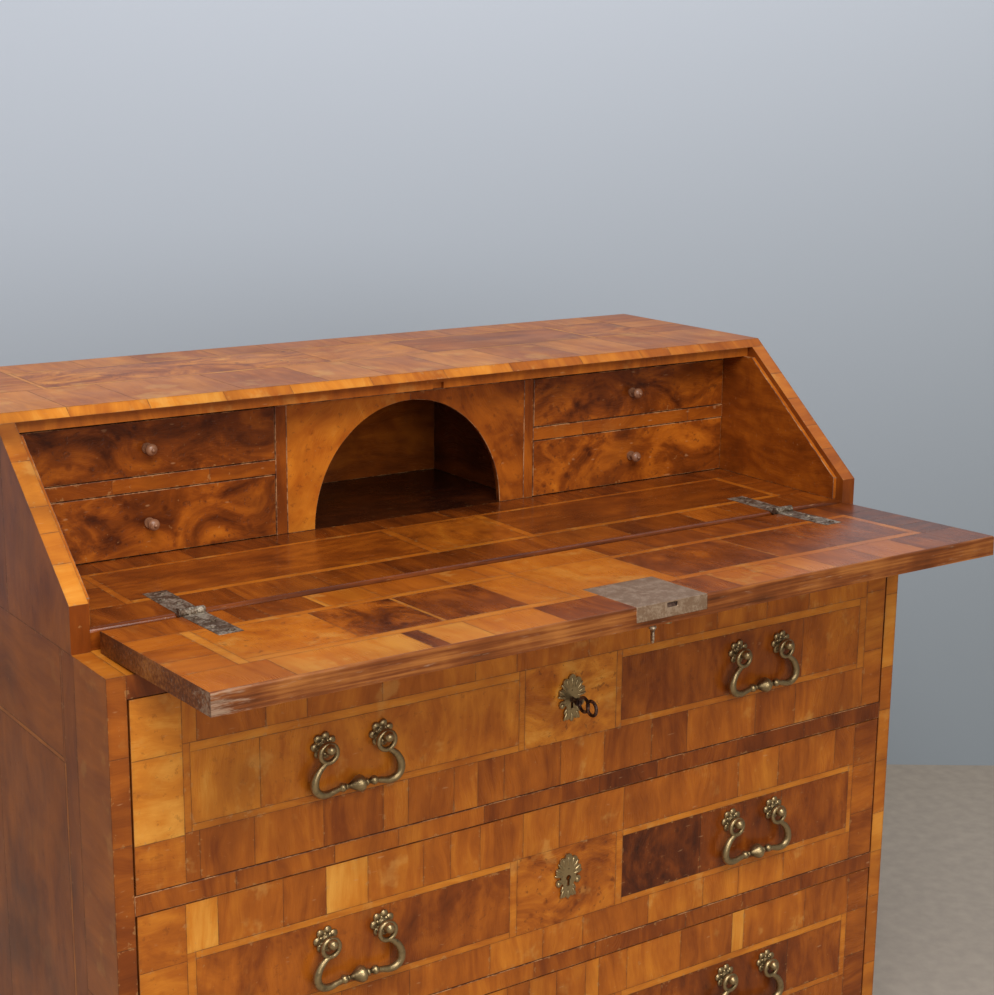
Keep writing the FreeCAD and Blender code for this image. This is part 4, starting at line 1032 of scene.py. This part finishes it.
def oval_bar(mesh, centre, wide, tall, thick, steps):
    """A round bar bent to a closed oval that faces front, sized in millimetres."""
    turns = [math.tau * step / steps for step in range(steps)]
    places = [centre + (EAST * math.cos(a) * wide + UP * math.sin(a) * tall) * MM for a in turns]
    tube(mesh, places, [thick * MM] * steps, closed=True)


def smooth_path(points, steps=6):
    """A rounded line through points, and through their radii, by a Catmull-Rom curve."""
    padded = [points[0], *points, points[-1]]
    path = []
    for number in range(len(points) - 1):
        p0, p1, p2, p3 = padded[number:number + 4]
        for step in range(steps):
            t = step / steps
            path.append((
                2 * p1 + (p2 - p0) * t + (2 * p0 - 5 * p1 + 4 * p2 - p3) * t ** 2
                + (3 * p1 - p0 - 3 * p2 + p3) * t ** 3
            ) / 2)
    return path + [points[-1]]


def lathe(mesh, profile, centre, axis, sides=24):
    """Turn a profile of (along, radius) pairs in millimetres about an axis through a centre."""
    side = axis.orthogonal().normalized()
    other = axis.cross(side)
    rings = []
    for along, radius in profile:
        ring = []
        for number in range(sides):
            angle = math.tau * number / sides
            away = side * math.cos(angle) + other * math.sin(angle)
            ring.append(mesh.verts.new(centre + axis * along * MM + away * radius * MM))
        rings.append(ring)
    for low, high in zip(rings, rings[1:]):
        for number in range(sides):
            after = (number + 1) % sides
            mesh.faces.new((low[number], low[after], high[after], high[number]))
    mesh.faces.new(rings[0][::-1])
    mesh.faces.new(rings[-1])


# Handles

KNOP_DROP = 41.4
RING_DROP = 5.5
RING_RADIUS = 10.2
RING_THICK = 2.8
RING_STEPS = 32
BAIL_Y = -219.236

# Across from the middle, down from the ring's middle, and the bar's thickness there
BAIL_POINTS = (
    (37.0, 9.6, 2.8), (42.0, 12.4, 3.4), (48.4, 18.6, 4.2), (52.8, 28.0, 4.8), (52.2, 37.4, 4.9),
    (46.4, 43.6, 4.7), (37.6, 45.2, 4.1), (29.0, 43.4, 3.5), (21.0, 41.6, 2.9),
)
KNOP_PROFILE = (
    (-24.0, 2.4), (-22.6, 4.0), (-20.6, 5.1), (-18.4, 5.2), (-16.6, 4.1), (-15.8, 3.0), (-14.6, 3.6),
    (-13.4, 3.0), (-11.4, 2.7), (-8.6, 4.0), (-4.6, 6.6), (-0.6, 9.0), (2.6, 9.6), (5.4, 8.6),
    (7.2, 6.2), (8.2, 3.6), (9.4, 4.4), (10.8, 4.4), (12.0, 3.2), (14.8, 2.7), (16.4, 4.0),
    (18.4, 5.2), (20.6, 5.1), (22.6, 4.0), (24.0, 2.4),
)


def bail(number, side):
    """A swan-neck bail: two eyes, a swelling bar and a turned knop at its middle."""
    mesh = bmesh.new()
    centre_x, ring_z = BAIL_X[side], POST_Z[number] - RING_DROP
    for hand in (-1, 1):
        bar = [Vector((hand * x, -down, thick)) for x, down, thick in BAIL_POINTS]
        path = smooth_path(bar)
        places = [mm(centre_x + point.x, BAIL_Y, ring_z + point.y) for point in path]
        tube(mesh, places, [point.z * MM for point in path])
        eye = mm(centre_x + hand * POST_HALF, BAIL_Y, ring_z)
        oval_bar(mesh, eye, RING_RADIUS, RING_RADIUS, RING_THICK, RING_STEPS)
    lathe(mesh, KNOP_PROFILE, mm(centre_x, BAIL_Y, ring_z - KNOP_DROP), EAST)
    bmesh.ops.recalc_face_normals(mesh, faces=mesh.faces)
    shade_smooth(mesh, 50)
    name = f"drawer_{number}_bail_{side}"
    finish_piece(mesh, name + "_cast", name + "_swing", [BRASS], (name,))


PETALS = 7
PETAL_SHIFT = 0.22
PETAL_REACH, PETAL_RISE, PETAL_SIZE = 10.2, 1.4, mm(5.0, 2.8, 5.4)
INNER_REACH, INNER_RISE, INNER_SIZE = 6.2, 2.6, mm(2.2, 1.9, 3.4)
ROSE_PLATE = ((0.0, 11.5), (1.8, 11.0), (3.2, 8.2), (4.0, 6.4), (5.2, 5.2), (6.2, 3.0))
ROSE_STEM = ((5.0, 2.3), (20.6, 2.3))
ROSE_BOSS = ((9.0, 3.0), (12.0, 6.0), (17.4, 6.4), (20.4, 5.2), (22.6, 2.4))


def rosette(mesh, post):
    """A cast rose of rounded petals, a stem through the bail's eye and a cut boss at its end."""
    for number in range(PETALS):
        turn = Matrix.Rotation(math.tau * number / PETALS + PETAL_SHIFT, 4, "Y")
        ball(mesh, post + turn @ mm(0, 0, PETAL_REACH) - mm(0, PETAL_RISE, 0), PETAL_SIZE, turn)
        inner = turn @ Matrix.Rotation(math.pi / PETALS, 4, "Y")
        place = post + inner @ mm(0, 0, INNER_REACH) - mm(0, INNER_RISE, 0)
        ball(mesh, place, INNER_SIZE, inner, 10)
    lathe(mesh, ROSE_PLATE, post, -NORTH)
    lathe(mesh, ROSE_STEM, post, -NORTH, 14)
    lathe(mesh, ROSE_BOSS, post, -NORTH, 8)


def handle_posts(number):
    mesh = bmesh.new()
    for middle in BAIL_X.values():
        for hand in (-1, 1):
            rosette(mesh, mm(middle + hand * POST_HALF, FRONT, POST_Z[number]))
    bmesh.ops.recalc_face_normals(mesh, faces=mesh.faces)
    shade_smooth(mesh, 42)
    body = f"drawer_{number}"
    name = body + "_handle_posts"
    finish_piece(mesh, body + "_rosettes", body, [BRASS], (name,))


# Keyhole plates

KEY_X = 15.0
KEY_DROP = 12.0
PLATE_FACE = -2.0
FAN_LEAVES = 9
FAN_TURN = math.radians(78)
FAN_RISE = 1.5
TAIL_REACH = 21.5


def escutcheon(number):
    """The cut plate with its raised work: a fan above, balls at the sides, a leafy tail below."""
    body = f"drawer_{number}"
    smooth_copy(body + "_escutcheon", body, BRASS, 0.5)
    mesh = bmesh.new()
    middle = mm(KEY_X, FRONT, POST_Z[number] - KEY_DROP)
    for step in range(FAN_LEAVES):
        share = step / (FAN_LEAVES - 1) * 2 - 1
        turn = Matrix.Rotation(share * FAN_TURN, 4, "Y")
        reach = 14.26 + 4.6 * math.cos(share * math.pi / 2)
        long = 6.6 if step % 2 == 0 else 5.6
        place = middle + turn @ mm(0, PLATE_FACE, reach) + mm(0, 0, FAN_RISE)
        ball(mesh, place, mm(1.9, 1.7, long), turn, 12)
    for hand in (-1, 1):
        ball(mesh, middle + mm(hand * 13.6, -2.0, -6.0), mm(3.5, 2.3, 3.5))
        turn = Matrix.Rotation(-hand * 0.5, 4, "Y")
        ball(mesh, middle + mm(hand * 8.6, -1.9, -13.2), mm(2.0, 1.6, 4.2), turn)
    for hand in (-1, 0, 1):
        turn = Matrix.Rotation(math.pi - hand * 0.42, 4, "Y")
        ball(mesh, middle + turn @ mm(0, PLATE_FACE, TAIL_REACH), mm(2.1, 1.7, 5.6), turn, 12)
    bmesh.ops.recalc_face_normals(mesh, faces=mesh.faces)
    shade_smooth(mesh, 60)
    finish_piece(mesh, body + "_escutcheon_relief", body, [BRASS])


# The fall's key: how far each part of it is from its lower end

KEY_COLLAR, KEY_COLLAR_FULL, KEY_COLLAR_END, KEY_NECK, SHANK_END = 21.0, 20.0, 17.6, 16.4, 14.0
BOW_MIDDLE, BOW_WIDE, BOW_TALL, BOW_THICK, BOW_STEPS = 9.4, 6.0, 7.4, 1.7, 28


def fall_key():
    """The short key under the open fall, its bow turned edge-on to the front left."""
    low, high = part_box("fall_key")
    top = Vector(((low.x + high.x) / 2, (low.y + high.y) / 2, high.z))
    down = -turned_by_fall(UP)
    long = (high.z - low.z) / MM
    shank = (
        (0.0, 2.6), (long - KEY_COLLAR, 2.6), (long - KEY_COLLAR_FULL, 4.2),
        (long - KEY_COLLAR_END, 4.4), (long - KEY_NECK, 3.0), (long - SHANK_END, 2.6),
    )
    mesh = bmesh.new()
    oval_bar(mesh, Vector(), BOW_WIDE, BOW_TALL, BOW_THICK, BOW_STEPS)
    turn = Matrix.Rotation(-HEADING - math.pi / 2, 4, "Z")
    place = Matrix.Translation(top + down * (long - BOW_MIDDLE) * MM)
    bmesh.ops.transform(mesh, matrix=place @ turn, verts=mesh.verts)
    lathe(mesh, shank, top, down, 16)
    bmesh.ops.recalc_face_normals(mesh, faces=mesh.faces)
    shade_smooth(mesh, 45)
    finish_piece(mesh, "fall_key_shaped", "fall_turnkey", [PALE_KEY], ("fall_key",))


def dress_metal():
    for number in DRAWERS:
        handle_posts(number)
        escutcheon(number)
        for side in BAIL_X:
            bail(number, side)
    smooth_copy("drawer_1_key", "drawer_1_turnkey", KEY_IRON, 0.35)
    fall_key()
    carry("drawer_1_lock_bolt", KEY_IRON, 0.3)
    carry("fall_lock_bolt", KEY_IRON, 0.3)
    smooth_copy("case_hinge_straps", "case", LEAF_IRON, 0.5)
    smooth_copy("hinge_pins", "case", LEAF_IRON, 0.3)
    smooth_copy("fall_hinge_straps", "fall", LEAF_IRON, 0.5)
    smooth_copy("fall_lock", "fall", LOCK_PLATE, 0.5)
    smooth_copy("fall_escutcheon", "fall", BRASS, 0.5)


def dress_plain():
    smooth_copy("bun_feet", "case", EBONISED, 0.0)
    carry("back_panel", PINE)
    board_top = 106.1
    lip = front_panel(banding(-INNER, INNER, CASE_LOW, board_top, 0.44, 0.10, 118))
    finishes = (VENEER, ARRIS, PINE_FLAT)
    veneered("bottom_board", "case", [lip], finishes, rest_finish=2)
    carry("drawer_runners", PINE_FLAT)
    foot, step, wide, narrow = 60, 74, 563, 556
    front, set_back = FRONT - 13, FRONT - 6
    lower = front_panel(banding(-wide, wide, foot, step, 0.34, 0.08, 190, 0), front)
    upper = front_panel(banding(-narrow, narrow, step, CASE_LOW, 0.42, 0.08, 190, 0), set_back)
    veneered("plinth", "case", [lower, upper], (SIDE_VENEER, ARRIS), 0.34, arris=2.2)


dress_rails()
dress_sides()
dress_top()
dress_desk()
dress_gallery()
dress_drawers()
dress_fall()
dress_metal()
dress_plain()


# Room, light and camera

# The photograph's width and focal length in its pixels, and its middle's shift in frame widths
PHOTO_WIDTH = 994
FOCAL_PIXELS = 1811.872
SHIFT_X, SHIFT_Y = 0.000467, -0.00448
SENSOR = 36.0
CAMERA_PLACE = Vector((-1.1886, -1.78826, 1.34452))
DIP = math.radians(13.1209)
ROLL = math.radians(0.5730)
WALL_AWAY = 3.41


def quad(name, corners, material):
    mesh = bmesh.new()
    mesh.faces.new([mesh.verts.new(corner) for corner in corners])
    data = bpy.data.meshes.new(name)
    mesh.to_mesh(data)
    mesh.free()
    data.materials.append(material)
    thing = bpy.data.objects.new(name, data)
    bpy.context.scene.collection.objects.link(thing)
    return thing


def make_room():
    ahead = Vector((math.sin(HEADING), math.cos(HEADING), 0))
    right = Vector((ahead.y, -ahead.x, 0))
    foot = Vector((CAMERA_PLACE.x, CAMERA_PLACE.y, 0)) + ahead * WALL_AWAY
    floor = Look("floor_paint")
    speck = floor.noise(floor.object_place(), scale=40.0, detail=3.0)
    floor_colour = floor.ramp(speck, ((0.3, (0.36, 0.31, 0.26)), (0.7, (0.42, 0.36, 0.30))))
    floor.finish(Base_Color=floor_colour, Roughness=0.8)
    wall = Look("wall_painted_light")
    across, _, height = wall.split(wall.object_place())
    # Painted light: the wall is lighter upwards and to the left and darker down to the right, a painted
    # falloff of the light across it.
    painted_light_falloff = wall.between(height * 0.8 - across * 0.35, -0.6, 1.6)
    wall_colour = wall.ramp(painted_light_falloff, ((0.0, (0.265, 0.305, 0.345)), (1.0, (0.65, 0.725, 0.85))))
    wall.finish(Base_Color=wall_colour, Roughness=0.9)
    wide, near, high = 7.0, 9.0, 5.0
    floor_corners = (
        foot - right * wide - ahead * near, foot + right * wide - ahead * near,
        foot + right * wide, foot - right * wide,
    )
    wall_corners = (
        foot - right * wide, foot + right * wide, foot + right * wide + UP * high,
        foot - right * wide + UP * high,
    )
    quad("floor", floor_corners, floor.material)
    quad("wall", wall_corners, wall.material)


def area_light(name, place, aim, size, power, colour):
    data = bpy.data.lights.new(name, "AREA")
    data.shape = "RECTANGLE"
    data.size, data.size_y = size
    data.energy = power
    data.color = colour
    thing = bpy.data.objects.new(name, data)
    thing.location = place
    thing.rotation_euler = (aim - place).to_track_quat("-Z", "Y").to_euler()
    bpy.context.scene.collection.objects.link(thing)


def make_light():
    world = bpy.data.worlds.new("even_light")
    world.use_nodes = True
    sky = world.node_tree.nodes["Background"]
    sky.inputs["Color"].default_value = (1.0, 0.95, 0.88, 1.0)
    sky.inputs["Strength"].default_value = 0.32
    bpy.context.scene.world = world
    aim = Vector((0, 0, 0.5))
    area_light("window", Vector((-1.1, -2.1, 3.3)), aim, (2.4, 2.0), 120, (1.0, 0.98, 0.95))
    area_light("fill", Vector((-0.6, -4.2, 1.5)), aim, (2.4, 1.6), 46, (1.0, 0.98, 0.96))


def make_camera():
    data = bpy.data.cameras.new("camera")
    data.sensor_fit = "HORIZONTAL"
    data.sensor_width = SENSOR
    data.lens = SENSOR * FOCAL_PIXELS / PHOTO_WIDTH
    data.shift_x = SHIFT_X
    data.shift_y = SHIFT_Y
    thing = bpy.data.objects.new("camera", data)
    turned = (
        Matrix.Rotation(-HEADING, 4, "Z") @ Matrix.Rotation(math.pi / 2 - DIP, 4, "X")
        @ Matrix.Rotation(ROLL, 4, "Z")
    )
    thing.matrix_world = Matrix.Translation(CAMERA_PLACE) @ turned
    bpy.context.scene.collection.objects.link(thing)
    bpy.context.scene.camera = thing


make_room()
make_light()
make_camera()
bpy.context.scene.view_settings.view_transform = "Standard"
